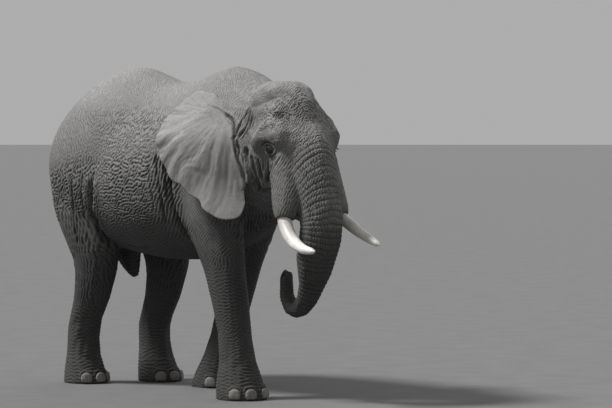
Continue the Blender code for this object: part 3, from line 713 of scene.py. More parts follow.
def net(places, slope, length, width, seed, turn=None):
    """Wandering wrinkles, long in the direction of the slope: 0 in a crease, and 1 on the ridges between.

    Trains of waves cross at small angles, so that the ridges swell, fork and end. With a turn round a
    leg's middle line for each place, each train makes a whole number of waves round the leg.
    """
    spread = math.atan2(width, length)
    total = 0
    for number, (lean, sideways) in enumerate(NET_TRAINS):
        way = math.radians(slope) + lean * spread
        bend = noise(places / (1.5 * length), seed + 2 * number)
        size = NET_SIZE + NET_SIZE_VARIES * noise(places / (1.2 * length) + 3.7, seed + 2 * number + 1)
        if turn is None:
            far = np.sqrt(places[:, 0] ** 2 + ROUND_SPINE)
            phase = (far * sideways + places[:, 1] * math.sin(way) + places[:, 2] * math.cos(way)) / width
        else:
            waves = round(2 * np.pi * LEG_RADIUS * math.sin(way) / width)
            phase = turn / (2 * np.pi) * waves + places[:, 2] * math.cos(way) / width
        total = total + size * np.cos(2 * np.pi * (phase + NET_BEND * bend))
    return 0.5 + 0.5 * np.tanh(NET_SHARP * total + NET_FULL)


def leg_turns(canvas, legs):
    """How far each vertex of a leg is turned round that leg's middle line, and its distance from it."""
    x, y, z = canvas.points.T
    turns, away = np.zeros(len(x)), np.zeros(len(x))
    for side in SIDES.values():
        for end in (-1, 1):
            chosen = np.nonzero((legs > 0.02) & (side * x > 0) & (end * (y - BETWEEN_LEGS) > 0))[0]
            sure = chosen[(legs[chosen] > 0.5) & (z[chosen] < LEGS_END)]
            layer = (z[sure] / LEG_SLICE).astype(int)
            count = np.maximum(np.bincount(layer), 1)
            heights = (np.arange(len(count)) + 0.5) * LEG_SLICE
            middle = [np.interp(z[chosen], heights, np.bincount(layer, v[sure]) / count) for v in (x, y)]
            turns[chosen] = np.arctan2(middle[1] - y[chosen], side * (x[chosen] - middle[0]))
            away[chosen] = np.hypot(x[chosen] - middle[0], y[chosen] - middle[1])
    return turns, away


def net_jobs(canvas):
    """For each net: how much it holds at each vertex, the places and turns it follows, and its form."""
    y, z = canvas.points[:, 1], canvas.points[:, 2]
    legs = canvas.shares["leg"] + canvas.shares["foot"]
    turns, away = leg_turns(canvas, legs)
    outer = legs * step(away, *LEG_REACH)
    legs = legs - outer
    for region, (at_y, at_z), (reach_y, reach_z), *form in NETS:
        share = canvas.shares[region] + (outer if region == "torso" else 0)
        yield share * bell((y - at_y) / reach_y, (z - at_z) / reach_z), canvas.points, None, form
    for pair, at_z, reach_z, *form in LEG_NETS:
        end = 1 if pair == "hind" else -1
        here = step(end * (y - BETWEEN_LEGS), -0.05, 0.05)
        yield legs * here * bell((z - at_z) / reach_z), canvas.points, turns, form
    ahead, left, up = canvas.head.T
    in_front = np.stack([left, -ahead, up], 1)
    for (at_ahead, at_up), (reach_ahead, reach_up), *form in FACE_NETS:
        near = bell((ahead - at_ahead) / reach_ahead, (up - at_up) / reach_up)
        yield canvas.shares["head"] * near, in_front, None, form


def add_nets(canvas):
    """Blends the nets by how near each place is to the middle of each one's ground."""
    total = np.full(len(canvas.points), 1e-9)
    rise = np.zeros(len(total))
    crease_shade = np.zeros(len(total))
    for number, (weight, places, turn, (slope, length, width, depth)) in enumerate(net_jobs(canvas)):
        chosen = np.nonzero(weight > NET_FAINTEST)[0]
        turn = None if turn is None else turn[chosen]
        cell = net(places[chosen], slope, length, width, 100 + 11 * number, turn)
        share = weight[chosen] ** 2
        total[chosen] += share
        rise[chosen] += share * depth * (cell - NET_LEVEL)
        # painted shade in the net's creases
        crease_shade[chosen] += share * (1 - step(cell, *NET_DARK)) * min(1.0, depth / NET_FULL_DARK)
    plain = canvas.shares["trunk"] + canvas.shares["ear"] + canvas.shares["tail"]
    worn = 1 - step(plain, 0.1, 0.9)
    canvas.rise += worn * rise / total
    canvas.darken(slice(None), worn * crease_shade / total)


# ---------------------------------------------------------------- trunk and ears
TRUNK_GRAIN, TRUNK_SPAN_STEPS = 0.005, 60  # of the points on the trunk's middle line
TRUNK_LENGTH = 3  # at least
TRUNK_BACK = -0.30  # ahead of the eyes' middle, where the trunk's surface may start
RING_PLACES = (0.25, 0.70, 1.20, 1.70, 2.30)  # along the trunk's middle line
RING_GAPS = (0.052, 0.050, 0.044, 0.034, 0.022)
RING_DEPTHS = (0.0075, 0.0090, 0.0090, 0.0066, 0.0038)
RING_SWELL = 0.10  # of the skin between two rings, in their depth
RING_DROOP = 0.10  # how much lower the upper rings lie on the trunk's sides than on its front
DROOP_ENDS = (0.55, 1.15)  # along the trunk
RINGS_START = (0.16, 0.36)
RINGS_AROUND = (0.85, 1.15)  # where the rings close round the trunk's back
RINGS_FRONT = (-0.35, 0.35)  # cosines of the turn from the trunk's front where its sides end
RINGS_END = (0.07, 0.02)  # from the trunk's end
BRICK_WIDTH, BRICK_DEPTH, BRICK_LEVEL = 0.029, 0.0060, 0.7
BRICK_JOINT = 0.005  # half width of the line between two courses of bricks
EAR_LINE_DEPTH = 0.0022


def trunk_line():
    """Points on the trunk's middle line, with its direction, front and radius at each."""
    rows = smooth_rows(TRUNK, TRUNK_SPAN_STEPS)
    points = np.array([in_head(*row[:3]) for row in rows])
    lengths = np.concatenate([[0], np.cumsum(np.linalg.norm(np.diff(points, axis=0), axis=1))])
    at = np.arange(0, lengths[-1], TRUNK_GRAIN)
    points = np.stack([np.interp(at, lengths, points[:, k]) for k in range(3)], 1)
    radius = np.interp(at, lengths, rows[:, 3])
    run = unit(np.gradient(points, axis=0))
    across = unit(np.array(LEFTWARD) - run * (run @ np.array(LEFTWARD))[:, None])
    front = np.cross(run, across)
    return {"at": at, "points": points, "run": run, "across": across, "front": front, "radius": radius}


def along_trunk(canvas, line):
    """For vertices near the trunk: numbers, length along it, turn from its front, and radius there."""
    near = canvas.shares["trunk"] + canvas.shares["head"] > 0.02
    chosen = np.nonzero(near & (canvas.head[:, 0] > TRUNK_BACK))[0]
    best = np.full(len(chosen), FAR)
    which = np.zeros(len(chosen), int)
    places = canvas.points[chosen]
    for k in range(0, len(line["at"]), 3):
        gap = places - line["points"][k]
        away = dots(gap, gap) - line["radius"][k] ** 2 * 0.6
        closer = away < best
        best[closer] = away[closer]
        which[closer] = k
    gap = places - line["points"][which]
    ahead, left, down = (dots(gap, line[key][which]) for key in ("front", "across", "run"))
    return chosen, line["at"][which] + down, np.arctan2(left, ahead), line["radius"][which]


def brick_net(at, turn, radius, phase, gap):
    """Upright creases between the trunk's rings, in two courses to a ring: 0 in a crease and 1 between."""
    ring = np.floor(phase)
    shift = hashed_numbers(2 * (ring + 0.5 * (phase - ring > 0.5)), 14)
    wander = 0.35 * waver(13, turn * 5, at * 16)
    bricks = 0.5 + 0.5 * np.cos(2 * np.pi * (turn * radius / BRICK_WIDTH + shift + wander))
    bricks = np.clip(1.25 * bricks ** 0.6, 0, 1)
    return bricks * (1 - bell(np.abs(phase - ring) * gap / BRICK_JOINT) * 0.5)


def add_rings(canvas):
    """Rings round the trunk, deeper down its front, and a net like bricks between them."""
    line = trunk_line()
    chosen, at, turn, radius = along_trunk(canvas, line)
    fine = np.linspace(0, TRUNK_LENGTH, 601)
    phases = np.cumsum(1 / np.interp(fine, RING_PLACES, RING_GAPS)) * (fine[1] - fine[0])
    sway = 0.30 * waver(5, turn * 1.3, at * 7) + 0.12 * waver(6, turn * 4, at * 20)
    droop = RING_DROOP * (1 - np.cos(turn)) * (1 - step(at, *DROOP_ENDS))
    phase = np.interp(at - droop, fine, phases) + sway
    ring = np.floor(phase)
    gap = np.interp(at, RING_PLACES, RING_GAPS)
    strength = 0.35 + 0.65 * hashed_numbers(ring, 9)
    strength = strength * (0.75 + 0.25 * waver(12, turn * 2, ring))
    groove = bell(np.abs(phase - ring - 0.5) * gap / (0.07 * gap + 0.0045)) * strength
    swell = np.cos((phase - ring - 0.5) * 2 * np.pi)
    front = step(np.cos(turn), *RINGS_FRONT)
    body = step(at, *RINGS_AROUND)
    share = step(at - droop, *RINGS_START) * (body + (1 - body) * front)
    share *= 1 - step(at, *(line["at"][-1] - end for end in RINGS_END))
    share *= step(canvas.shares["trunk"][chosen] + canvas.shares["head"][chosen], 0.2, 0.9)
    bricks = brick_net(at, turn, radius, phase, gap)
    rings = np.interp(at, RING_PLACES, RING_DEPTHS) * (-groove - RING_SWELL * swell)
    canvas.rise[chosen] += share * (rings + BRICK_DEPTH * front * (bricks - BRICK_LEVEL))
    # painted shade in the rings' grooves and in the creases between the bricks
    dark = np.maximum(groove * 0.95, 0.75 * front * (1 - step(bricks, 0.05, 0.6)))
    canvas.darken(chosen, share * dark)


def add_ear_streaks(canvas):
    """Painted shade in the valleys between the ears' hanging folds, and fine wrinkles that follow them,
    with painted shade in their hollows.
    """
    chosen = np.nonzero(canvas.shares["ear"] > 0.02)[0]
    share = canvas.shares["ear"][chosen]
    y, z = canvas.points[chosen, 1], canvas.points[chosen, 2]
    root = smooth_rows(EAR_ROOT, EAR_ROOT_STEPS)[::-1]
    behind = y - HEAD_AT.y - np.interp(z, root[:, 0], root[:, 1])
    lift = ear_relief(behind, z) / EAR_FOLD_DEPTH
    away, turn = ear_fan(behind, z)
    lines = waver(83, turn * 34, away * 9)
    canvas.rise[chosen] += share * EAR_LINE_DEPTH * lines * step(away, 0.05, 0.35)
    # painted shade in the fold valleys and the wrinkles' hollows
    dark = 0.50 * step(-lift, 0.15, 1.1) + 0.30 * step(-lines, 0.1, 0.8)
    canvas.darken(chosen, share * np.clip(dark, 0, 1))


# ---------------------------------------------------------------- lids, trunk tip, sockets and cuticles
EYE_RADIUS = 0.0265
EYE_TURN = 0.20  # how far the eye looks ahead, against straight out
LID_HEIGHT, LID_DOME = 0.0340, 1.45  # of the lids over the eyeball's middle, and their reach in heights
LID_TILT = 0.10
LID_SUNK = 0.005  # the lids' inner edge behind the eyeball's surface
LIDS_WITHIN = (0.013, -0.03)  # square of the distance from the eye's middle, and distance along its axis
OPENING = (0.0248, 0.0172, 0.0142)  # half width, and heights above and below, between the lids
OPENING_EDGE = (0.92, 1.10)
RIM_PLACE, RIM_WIDTH = 1.08, 0.14  # of the line of painted shade round the opening
LID_FOLDS = (  # above or below, distance from the eye's middle, half width and depth; minus for a ridge
    (1, 0.0240, 0.0024, 0.0028),
    (1, 0.0360, 0.0038, 0.0070),
    (1, 0.0490, 0.0060, -0.0110),
    (1, 0.0640, 0.0055, 0.0080),
    (-1, 0.0225, 0.0022, 0.0025),
    (-1, 0.0330, 0.0036, 0.0065),
    (-1, 0.0440, 0.0056, -0.0095),
    (-1, 0.0570, 0.0050, 0.0070),
)
LID_OVAL = 1.30  # how much longer than high the folds run round the eye
LID_DARK = (0.036, 0.046)  # painted shade on the lids reaches this far from the eye's middle
LID_DAMP_AND_SHADE = (0.044, 0.056)  # of the damp skin and painted shade round it, from the eyeball's middle
LID_REACH = (0.048, 0.084)  # from the eye's middle, where the lids pass into the cheek
LID_BARE = (0.040, 0.080)  # from the eyeball's middle, where the wrinkles fade in
EYE_REFINED, TIP_REFINED, FACE_REFINED = (0.085, 0.058, 0.036), (0.12, 0.10), (0.36,)
FACE_MIDDLE = (0.05, 0.0, 0.30)
TIP_WITHIN = (0.025, -0.09)  # square of the distance from the trunk's end, and distance along the trunk
TIP_WALL = (-0.045, -0.005)  # along the trunk from its end, where the tip's own shape starts
TIP_ROUND, TIP_RIM = 0.022, (0.035, 0.075)  # how far the trunk's outer rim falls away, and where
TIP_LEAN = 0.42  # how steeply the trunk's end falls towards the animal's right
TIP_PASSES = 16
FINGERS = ((0.042, 0.034, 0.036, 0.044), (-0.044, 0.026, 0.040, 0.024))  # back, reach, reach aside, length
NOSTRIL = (0.024, 0.002, 0.016, 0.024, 0.070)  # aside, back, half width, half length, depth
SOCKET_REACH, SOCKET_DARK = 0.11, 0.016  # from a tusk's middle, and the painted shade's reach from its surface
FEET_TOP, SOLE_TOP = 0.22, 0.012
NAIL_BED, NAIL_PRESSED = (0.72, 1.02), 0.018  # in half sizes of the nail, and how deep the skin lies there
CUTICLE_PLACE, CUTICLE_WIDTH, CUTICLE_HEIGHT = 1.24, 0.20, 0.010
NAIL_LINE = 0.10  # half width of the line of painted shade round a nail


def eye_frame(word):
    """An eye's middle, and its directions: out of the head, ahead along the face, and up."""
    out = (LEFTWARD * SIDES[word] + FORWARD * EYE_TURN).normalized()
    ahead = (FORWARD - out * FORWARD.dot(out)).normalized()
    return [np.array(v) for v in (middle_of_node(f"eye_{word}"), out, ahead, UP)]


def lid_height(away):
    """How far the lids stand out from the eyeball's middle, at a distance from its axis."""
    return LID_HEIGHT * np.sqrt(np.clip(1 - (away / (LID_DOME * LID_HEIGHT)) ** 2, 0.02, 1))


def eye_distance(canvas):
    """Each vertex's distance from the nearer eye's middle."""
    return np.minimum(*(np.linalg.norm(canvas.points - eye_frame(word)[0], axis=1) for word in SIDES))


def shape_lids(canvas):
    """Lids that close over the eyeball round an almond opening, with folds above and below."""
    for word in SIDES:
        middle, out, ahead, up = eye_frame(word)
        gap = canvas.points - middle
        chosen = np.nonzero((dots(gap, gap) < LIDS_WITHIN[0]) & (gap @ out > LIDS_WITHIN[1]))[0]
        gap = gap[chosen]
        along, high, height = gap @ ahead, gap @ up, gap @ out
        tilted = high + LID_TILT * along
        away = np.hypot(along, high)
        lid = lid_height(away)
        tall = np.where(tilted > 0, OPENING[1], OPENING[2])
        opening = np.sqrt((along / OPENING[0]) ** 2 + (tilted / tall) ** 2)
        ball = np.sqrt(np.clip(EYE_RADIUS ** 2 - away ** 2, 0, 1)) - LID_SUNK
        inside = 1 - step(opening, *OPENING_EDGE)
        blend = 1 - step(away, *LID_REACH)
        moved = blend * (lid + (ball - lid) * inside - height)
        # painted shade over the lids and in a line round the opening
        dark = np.maximum(bell((opening - RIM_PLACE) / RIM_WIDTH), 0.95 * (1 - step(away, *LID_DARK)))
        oval = np.hypot(along / LID_OVAL, tilted)
        for part, distance, width, depth in LID_FOLDS:
            fade = step(part * tilted / np.maximum(away, 1e-6), 0.0, 0.45)
            sway = 0.25 * width * noise(canvas.points[chosen] * 60, 45)
            groove = fade * bell((oval - distance + sway) / width)
            moved -= depth * groove * (1 - inside)
            # painted shade in each fold's groove
            if depth > 0:
                dark = np.maximum(dark, groove * min(1.0, depth / 0.005))
        canvas.points[chosen] += moved[:, None] * out
        canvas.crease_shade[chosen] = np.maximum(canvas.crease_shade[chosen] * (1 - blend), dark)


def shape_tip(canvas):
    """Two nostrils in the trunk's end, between its two fingers."""
    line = trunk_line()
    end, run, back, across = (line[k][-1] for k in ("points", "run", "front", "across"))
    gap = canvas.points - end
    chosen = np.nonzero((dots(gap, gap) < TIP_WITHIN[0]) & (gap @ run > TIP_WITHIN[1]))[0]
    gap = gap[chosen]
    along, behind, aside = gap @ run, gap @ back, gap @ across
    wall = step(along, *TIP_WALL)
    moved = np.zeros(len(chosen))
    for place, reach, width, length in FINGERS:
        moved += wall * length * bell((behind - place) / reach, aside / width)
    at, back_by, half_wide, half_long, depth = NOSTRIL
    pit = np.hypot((np.abs(aside) - at) / half_wide, (behind - back_by) / half_long)
    pit = (1 - step(pit, 0.50, 1.15)) * step(along, -0.05, -0.02)
    moved += wall * TIP_LEAN * aside
    moved -= wall * TIP_ROUND * step(np.hypot(aside, behind), *TIP_RIM)
    canvas.points[chosen] += (moved - depth * pit)[:, None] * run
    # painted shade in the nostrils
    canvas.darken(chosen, step(pit, 0.15, 0.6))
    share = np.zeros(len(canvas.points))
    share[chosen] = 0.5 * wall
    canvas.points = Web(canvas.mesh).soften(canvas.points, TIP_PASSES, share)


def tusk_path(word):
    """Points and radii down a tusk's middle, from inside the head to its tip."""
    rows = smooth_rows(TUSKS[word], TUSK_STEPS)
    return np.array([in_head(ahead, SIDES[word] * out, up) for ahead, out, up, _ in rows]), rows[:, 3]


def darken_sockets(canvas):
    """Painted shade in a line where each tusk leaves its sheath."""
    for word in TUSKS:
        path, radii = tusk_path(word)
        chosen, away, along = near_line(canvas.points, path, SOCKET_REACH)
        away -= np.interp(along, np.linspace(0, 1, len(radii)), radii)
        canvas.darken(chosen, bell(np.maximum(away, 0) / SOCKET_DARK))


def nail_frames():
    """For each toenail's node: its middle, its directions across, out and up, and its half sizes."""
    found = {}
    for node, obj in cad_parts.items():
        if not node.startswith("toenail_"):
            continue
        _, pair, word, _ = node.split("_")
        gap = middle_of_node(node) - middle_of_node(f"{pair}_foot_{word}")
        out = Vector((gap.x, gap.y, 0)).normalized()
        across = UP.cross(out)
        places = points_of(obj.data) - np.array(middle_of_node(node))
        axes = np.array((across, out, UP))
        found[node] = (np.array(middle_of_node(node)), axes, np.abs(places @ axes.T).max(0))
    return found


def shape_cuticles(canvas):
    """Presses the skin back behind each nail, with a low fold round the nail's root."""
    low = np.nonzero(canvas.points[:, 2] < FEET_TOP)[0]
    for middle, axes, half in nail_frames().values():
        gap = (canvas.points[low] - middle) @ axes.T
        near = np.abs(gap[:, 1]) < 2.2 * half[1]
        size = np.sum(np.abs(gap[:, [0, 2]] / half[[0, 2]]) ** 3, axis=1) ** (1 / 3)
        root = bell((size - CUTICLE_PLACE) / CUTICLE_WIDTH) * step(gap[:, 2] / half[2], -0.9, -0.2)
        canvas.rise[low] += near * (CUTICLE_HEIGHT * root - NAIL_PRESSED * (1 - step(size, *NAIL_BED)))
        # painted shade in the groove round each nail
        canvas.darken(low, near * bell((size - NAIL_BED[1]) / NAIL_LINE))


# ---------------------------------------------------------------- the skin
EAR_UPPER_PALE, EAR_UPPER_PALE_HEIGHTS = 0.26, (1.80, 2.25)  # paler on the ears' upper halves, added to the dust and painted top light
STAIN_AND_SHADE_HEIGHTS = (0.75, 2.05)  # heights between which the stain and painted shade low down fade out
BODY_STAIN_AND_SHADE_RISE = 0.20  # how much higher the stain and painted shade reach on the body than on the head


def keep_values(mesh, name, values):
    """Stores a value for each vertex, for the material to read."""
    found = mesh.attributes.new(name, "FLOAT", "POINT")
    found.data.foreach_set("value", values.astype(np.float32))


def keep_hide_values(canvas):
    """Stores the painted shade in creases, the dust and painted light where the hide faces up, and the mud
    and damp stains with painted shade low down and round the eyes.
    """
    z, ears = canvas.points[:, 2], canvas.shares["ear"]
    # paler where the skin faces up: dust, and painted light from above
    sky = step(canvas.normals[:, 2], -0.25, 0.95) + EAR_UPPER_PALE * ears * step(z, *EAR_UPPER_PALE_HEIGHTS)
    patches = 0.5 + 0.5 * noise(canvas.points * 3.1, 91)
    height = z - BODY_STAIN_AND_SHADE_RISE * (1 - canvas.shares["head"] - ears)
    high = step(height + 0.15 * noise(canvas.points * 2.3, 92), *STAIN_AND_SHADE_HEIGHTS)
    dust_and_top_light = sky * (0.65 + 0.5 * patches) * (0.25 + 0.75 * high)
    # darker low down with mud stain and painted shade, and round the eyes with damp skin and painted shade
    darkening = np.maximum(1 - high, 1 - step(eye_distance(canvas), *LID_DAMP_AND_SHADE))
    keep_values(canvas.mesh, "crease_shade", np.clip(canvas.crease_shade, 0, 1))
    keep_values(canvas.mesh, "dust_and_top_light", np.clip(dust_and_top_light, 0, 1))
    keep_values(canvas.mesh, "darkening", darkening)


def shape_skin(flesh):
    canvas = Canvas(flesh.data)
    add_swells(canvas)
    canvas.press()
    add_folds(canvas)
    canvas.press()
    add_nets(canvas)
    add_rings(canvas)
    add_ear_streaks(canvas)
    canvas.rise *= step(eye_distance(canvas), *LID_BARE)
    shape_cuticles(canvas)
    canvas.rise[canvas.points[:, 2] < SOLE_TOP] = 0
    canvas.press()
    shape_lids(canvas)
    shape_tip(canvas)
    darken_sockets(canvas)
    canvas.press()
    keep_hide_values(canvas)


# ---------------------------------------------------------------- materials
class Nodes:
    """Shorthand for building a material's nodes."""

    def __init__(self, name):
        self.material = bpy.data.materials.new(name)
        self.material.use_nodes = True
        self.tree = self.material.node_tree
        self.shader = self.tree.nodes["Principled BSDF"]
        self.place = self.add("TexCoord").outputs["Object"]

    def add(self, kind, inputs=(), **settings):
        """A node with its settings, and its inputs linked or set, by name or number."""
        node = self.tree.nodes.new("ShaderNode" + kind)
        for key, value in settings.items():
            setattr(node, key, value)
        for key, value in dict(inputs).items():
            self.put(node, key, value)
        return node

    def put(self, node, key, value):
        if isinstance(value, bpy.types.NodeSocket):
            self.tree.links.new(value, node.inputs[key])
        else:
            node.inputs[key].default_value = value

    def kept(self, name):
        """A value that the mesh stores for each vertex."""
        return self.add("Attribute", attribute_name=name).outputs["Fac"]

    def noise(self, scale, detail, roughness=0.5, stretch=None, output="Fac"):
        """Noise, drawn out where the stretch, three scales, is small."""
        place = self.place
        if stretch:
            place = self.add("Mapping", {"Vector": place, "Scale": stretch}).outputs[0]
        inputs = {"Vector": place, "Scale": scale, "Detail": detail, "Roughness": roughness}
        return self.add("TexNoise", inputs).outputs[output]

    def ramp(self, value, *stops):
        """A colour for a value from 0 to 1: stops are (place, colour)."""
        node = self.add("ValToRGB", {"Fac": value})
        points = node.color_ramp.elements
        while len(points) < len(stops):
            points.new(0.5)
        for point, (place, colour) in zip(points, stops):
            point.position, point.color = place, (*colour, 1)
        return node.outputs["Color"]

    def maths(self, operation, a, b=0.0):
        return self.add("Math", {0: a, 1: b}, operation=operation).outputs[0]

    def times(self, a, b):
        return self.maths("MULTIPLY", a, b)

    def mix(self, share, a, b, blend="MIX"):
        node = self.add("Mix", data_type="RGBA", blend_type=blend)
        for key, value in ((0, share), (6, a), (7, b)):
            self.put(node, key, (*value, 1) if isinstance(value, tuple) else value)
        return node.outputs[2]

    def finish(self, colour, rough_by, roughness, relief=None, even=()):
        """The material: its colour, the value that its roughness goes by and that roughness's range, the
        height, depth and strength of its relief, and the shader's inputs that are even all over."""
        low, high = roughness
        self.put(self.shader, "Base Color", colour)
        spread = self.add("MapRange", {"Value": rough_by, "To Min": low, "To Max": high})
        self.put(self.shader, "Roughness", spread.outputs[0])
        if relief:
            height, depth, strength = relief
            bump = self.add("Bump", {"Height": height, "Distance": depth, "Strength": strength})
            self.put(self.shader, "Normal", bump.outputs[0])
        for key, value in even:
            self.put(self.shader, key, value)
        return self.material


def grey(level, warmth=0.0):
    return level * (1 + warmth), level, level * (1 - warmth)


def hide_material():
    """Dusty grey hide: pale where it is worn, and with dust and painted light where it faces the sky; dark
    with painted shade in creases and cracks, and with stains and painted shade low down and round the eyes.
    """
    n = Nodes("hide")
    crease_shade, dust_and_top_light, darkening = (n.kept(name) for name in ("crease_shade", "dust_and_top_light", "darkening"))
    broad = n.noise(1.8, 6.0)
    fine = n.noise(26.0, 8.0, 0.65)
    moved = n.mix(0.022, grey(0.0), n.noise(40.0, 3.0, output="Color"))
    bent = n.add("VectorMath", {0: n.place, 1: moved}, operation="ADD").outputs[0]
    cracks = n.add("TexVoronoi", {"Vector": bent, "Scale": 110.0}, feature="DISTANCE_TO_EDGE")
    cracks = n.add("MapRange", {"Value": cracks.outputs["Distance"], "From Min": 0.0, "From Max": 0.22})
    crack_line = cracks.outputs[0]
    tone = n.ramp(broad, (0.30, grey(0.155, 0.02)), (0.70, grey(0.225, 0.02)))
    # paler with dust and painted light from above where the skin faces up
    tone = n.mix(n.times(dust_and_top_light, 0.80), tone, grey(0.42, 0.02))
    # darker with stains and painted shade low down and round the eyes
    tone = n.mix(n.times(darkening, 0.88), tone, grey(0.042, 0.04))
    speckle = n.ramp(fine, (0.30, grey(0.55)), (0.72, grey(1.0)))
    tone = n.mix(0.55, tone, speckle, "MULTIPLY")
    # painted shade in creases, grooves, nostrils, sockets and round the eyes
    tone = n.mix(n.times(crease_shade, 0.94), tone, grey(0.020, 0.03))
    # painted shade in the fine cracks
    tone = n.mix(n.maths("SUBTRACT", 0.28, n.times(crack_line, 0.28)), tone, grey(0.06))
    height = n.maths("ADD", n.times(crack_line, 0.4), fine)
    return n.finish(tone, fine, (0.72, 0.95), (height, 0.004, 0.6), [("Specular IOR Level", 0.35)])


def ivory_material():
    """Worn ivory: creamy, with long fine cracks, and brown stain towards the root."""
    n = Nodes("ivory")
    broad = n.noise(9.0, 5.0)
    grain = n.noise(1.0, 7.0, 0.7, stretch=(60.0, 14.0, 22.0))
    tone = n.ramp(broad, (0.30, (0.66, 0.64, 0.60)), (0.65, (0.83, 0.81, 0.77)))
    darkening = n.times(n.ramp(n.kept("along"), (0.20, grey(1.0)), (0.55, grey(0.0))), grain)
    tone = n.mix(n.times(darkening, 0.75), tone, (0.30, 0.27, 0.22))
    cracks = n.ramp(grain, (0.36, grey(0.62)), (0.46, grey(1.0)))
    tone = n.mix(0.6, tone, cracks, "MULTIPLY")
    return n.finish(tone, grain, (0.28, 0.5), (grain, 0.0015, 1.0))


def nail_material():
    """Grey-brown horn, scuffed pale at the edge, with upright ribs."""
    n = Nodes("nail")
    ribs = n.noise(1.0, 5.0, stretch=(160.0, 160.0, 12.0))
    scuffs = n.noise(30.0, 6.0)
    tone = n.ramp(ribs, (0.3, (0.13, 0.122, 0.112)), (0.7, (0.25, 0.235, 0.215)))
    tone = n.mix(0.45, tone, n.ramp(scuffs, (0.35, grey(0.55)), (0.65, grey(1.0))), "MULTIPLY")
    return n.finish(tone, scuffs, (0.45, 0.8), (ribs, 0.001, 1.0))


def eye_material():
    """Amber-brown iris with rays, a black pupil, and a dark rim."""
    n = Nodes("eye")
    gaze = n.kept("gaze")
    rays = n.noise(420.0, 4.0)
    tone = n.ramp(
        gaze,
        (0.10, (0.004, 0.003, 0.003)),
        (0.12, (0.075, 0.036, 0.012)),
        (0.22, (0.13, 0.065, 0.022)),
        (0.27, (0.012, 0.008, 0.006)),
        (0.34, (0.10, 0.075, 0.060)),
    )
    tone = n.mix(0.5, tone, n.ramp(rays, (0.35, grey(0.4)), (0.65, grey(1.0))), "MULTIPLY")
    return n.finish(tone, gaze, (0.05, 0.30), even=[("Coat Weight", 1.0), ("Coat Roughness", 0.03)])


def hair_material():
    """Stiff black hair."""
    n = Nodes("tail_hair")
    shade = n.noise(60.0, 3.0)
    tone = n.ramp(shade, (0.3, (0.012, 0.011, 0.010)), (0.7, (0.045, 0.041, 0.037)))
    return n.finish(tone, shade, (0.35, 0.6))


# ---------------------------------------------------------------- tusks, nails, eyes and hair
TUSK_STEPS, TUSK_AROUND = 24, 56
TUSK_WORN = {"right": 1.0, "left": 0.55}  # the lower, the further down a tusk its stain reaches
TUSK_UNEVEN = 0.022  # of its radius
ROUND_END = (20, 40, 58, 73, 84)  # degrees of the rings of a tusk's round tip
NAIL_RINGS, NAIL_AROUND, NAIL_TOP = 28, 40, 88
NAIL_SQUARE = (2.1, 3.6)  # above and below its middle: 2 is an oval, and more is squarer
NAIL_GROWTH = (1.20, 0.80, 1.02)  # of the visible nail, against the solid's half sizes
NAIL_WORN = -0.86  # where its lower edge is worn straight, in half heights from its middle
NAIL_RIBS = ((0.0009, 700), (0.0006, 1600))  # depth, and radians a metre
EYE_RINGS, EYE_AROUND = 40, 56
EYE_GAP = 0.02  # radians from the eyeball's poles to its nearest rings
EYE_LOOK = (0.10, -0.06)  # how far it looks ahead and up, against straight out
CORNEA = (0.52, 0.0022)  # its half angle, and how far it stands out of the ball
HAIR_STEPS, HAIR_SIDES = 6, 3
HAIR_LEAN = (0.31, 0.87, 0.38)  # a direction that no hair runs in
HAIR_PATCH = 0.003  # of each hair on the map
LASH_COUNT, LASH_LENGTH, LASH_RADIUS = 54, 0.040, 0.0009
LASH_ROW = (-0.93, 0.96)  # from the back to the front corner of the eye
LASH_PLACE, LASH_SUNK = 1.06, 0.003  # of the opening's height, and how deep under the lid roots lie
LASH_VARIES, LOWER_LASH = (0.7, 1.1), 0.5  # of the length
LASH_FAN, LASH_LIFT = 0.55, (0.10, -0.45)  # lean at the eye's corners, and lift from upper and lower lid
LASH_UNEVEN = (0.10, 0.08)  # of that lean and lift
LASH_DROOP, LASH_ELBOW = 0.45, 0.55  # how far the upper tips bend down, and where they start to
TUFT_COUNT, TUFT_RADIUS = 620, 0.0011
TUFT_LENGTHS, TUFT_SPREADS = (0.14, 0.34), (0.01, 0.055)
TUFT_ROWS, TUFT_UNEVEN = (0.5, 1.5), 0.75  # turns of the two rows in half circles, and radians off them
TUFT_SUNK, TUFT_BOW = 0.94, 1.3  # the roots' place in the tail's radius, and how hairs bow out half way
TAIL_END = (  # down the tail's middle: x, y, z, radius of what the hairs grow from
    (0.072, 1.999, 1.44, 0.0320),
    (0.090, 1.991, 1.30, 0.0290),
    (0.108, 1.982, 1.14, 0.0255),
    (0.122, 1.977, 1.00, 0.0200),
    (0.133, 1.972, 0.86, 0.0120),
    (0.142, 1.967, 0.665, 0.0060),
)
TAIL_STEPS = 12
CORE_TOP, ROOTS_END, CORE_AROUND = 1.22, 0.88, 16


def loft(name, rings):
    """A closed body through rings of points, with a fan at each end."""
    rows, around = rings.shape[:2]
    points = np.concatenate([rings.reshape(-1, 3), rings[:1].mean(1), rings[-1:].mean(1)])
    index = np.arange(rows * around).reshape(rows, around)
    beside = np.roll(index, -1, axis=1)
    faces = np.stack([index[:-1], beside[:-1], beside[1:], index[1:]], -1).reshape(-1, 4).tolist()
    faces += [[rows * around, b, a] for a, b in zip(index[0], beside[0])]
    faces += [[rows * around + 1, a, b] for a, b in zip(index[-1], beside[-1])]
    shape = bmesh.new()
    verts = [shape.verts.new(point) for point in points]
    for face in faces:
        shape.faces.new([verts[k] for k in face])
    bmesh.ops.recalc_face_normals(shape, faces=shape.faces)
    return new_object(name, shape)


def joined(name, objects):
    """One object from several, with their attributes."""
    first = objects[0]
    with bpy.context.temp_override(active_object=first, selected_editable_objects=objects):
        bpy.ops.object.join()
    first.name = name
    return first


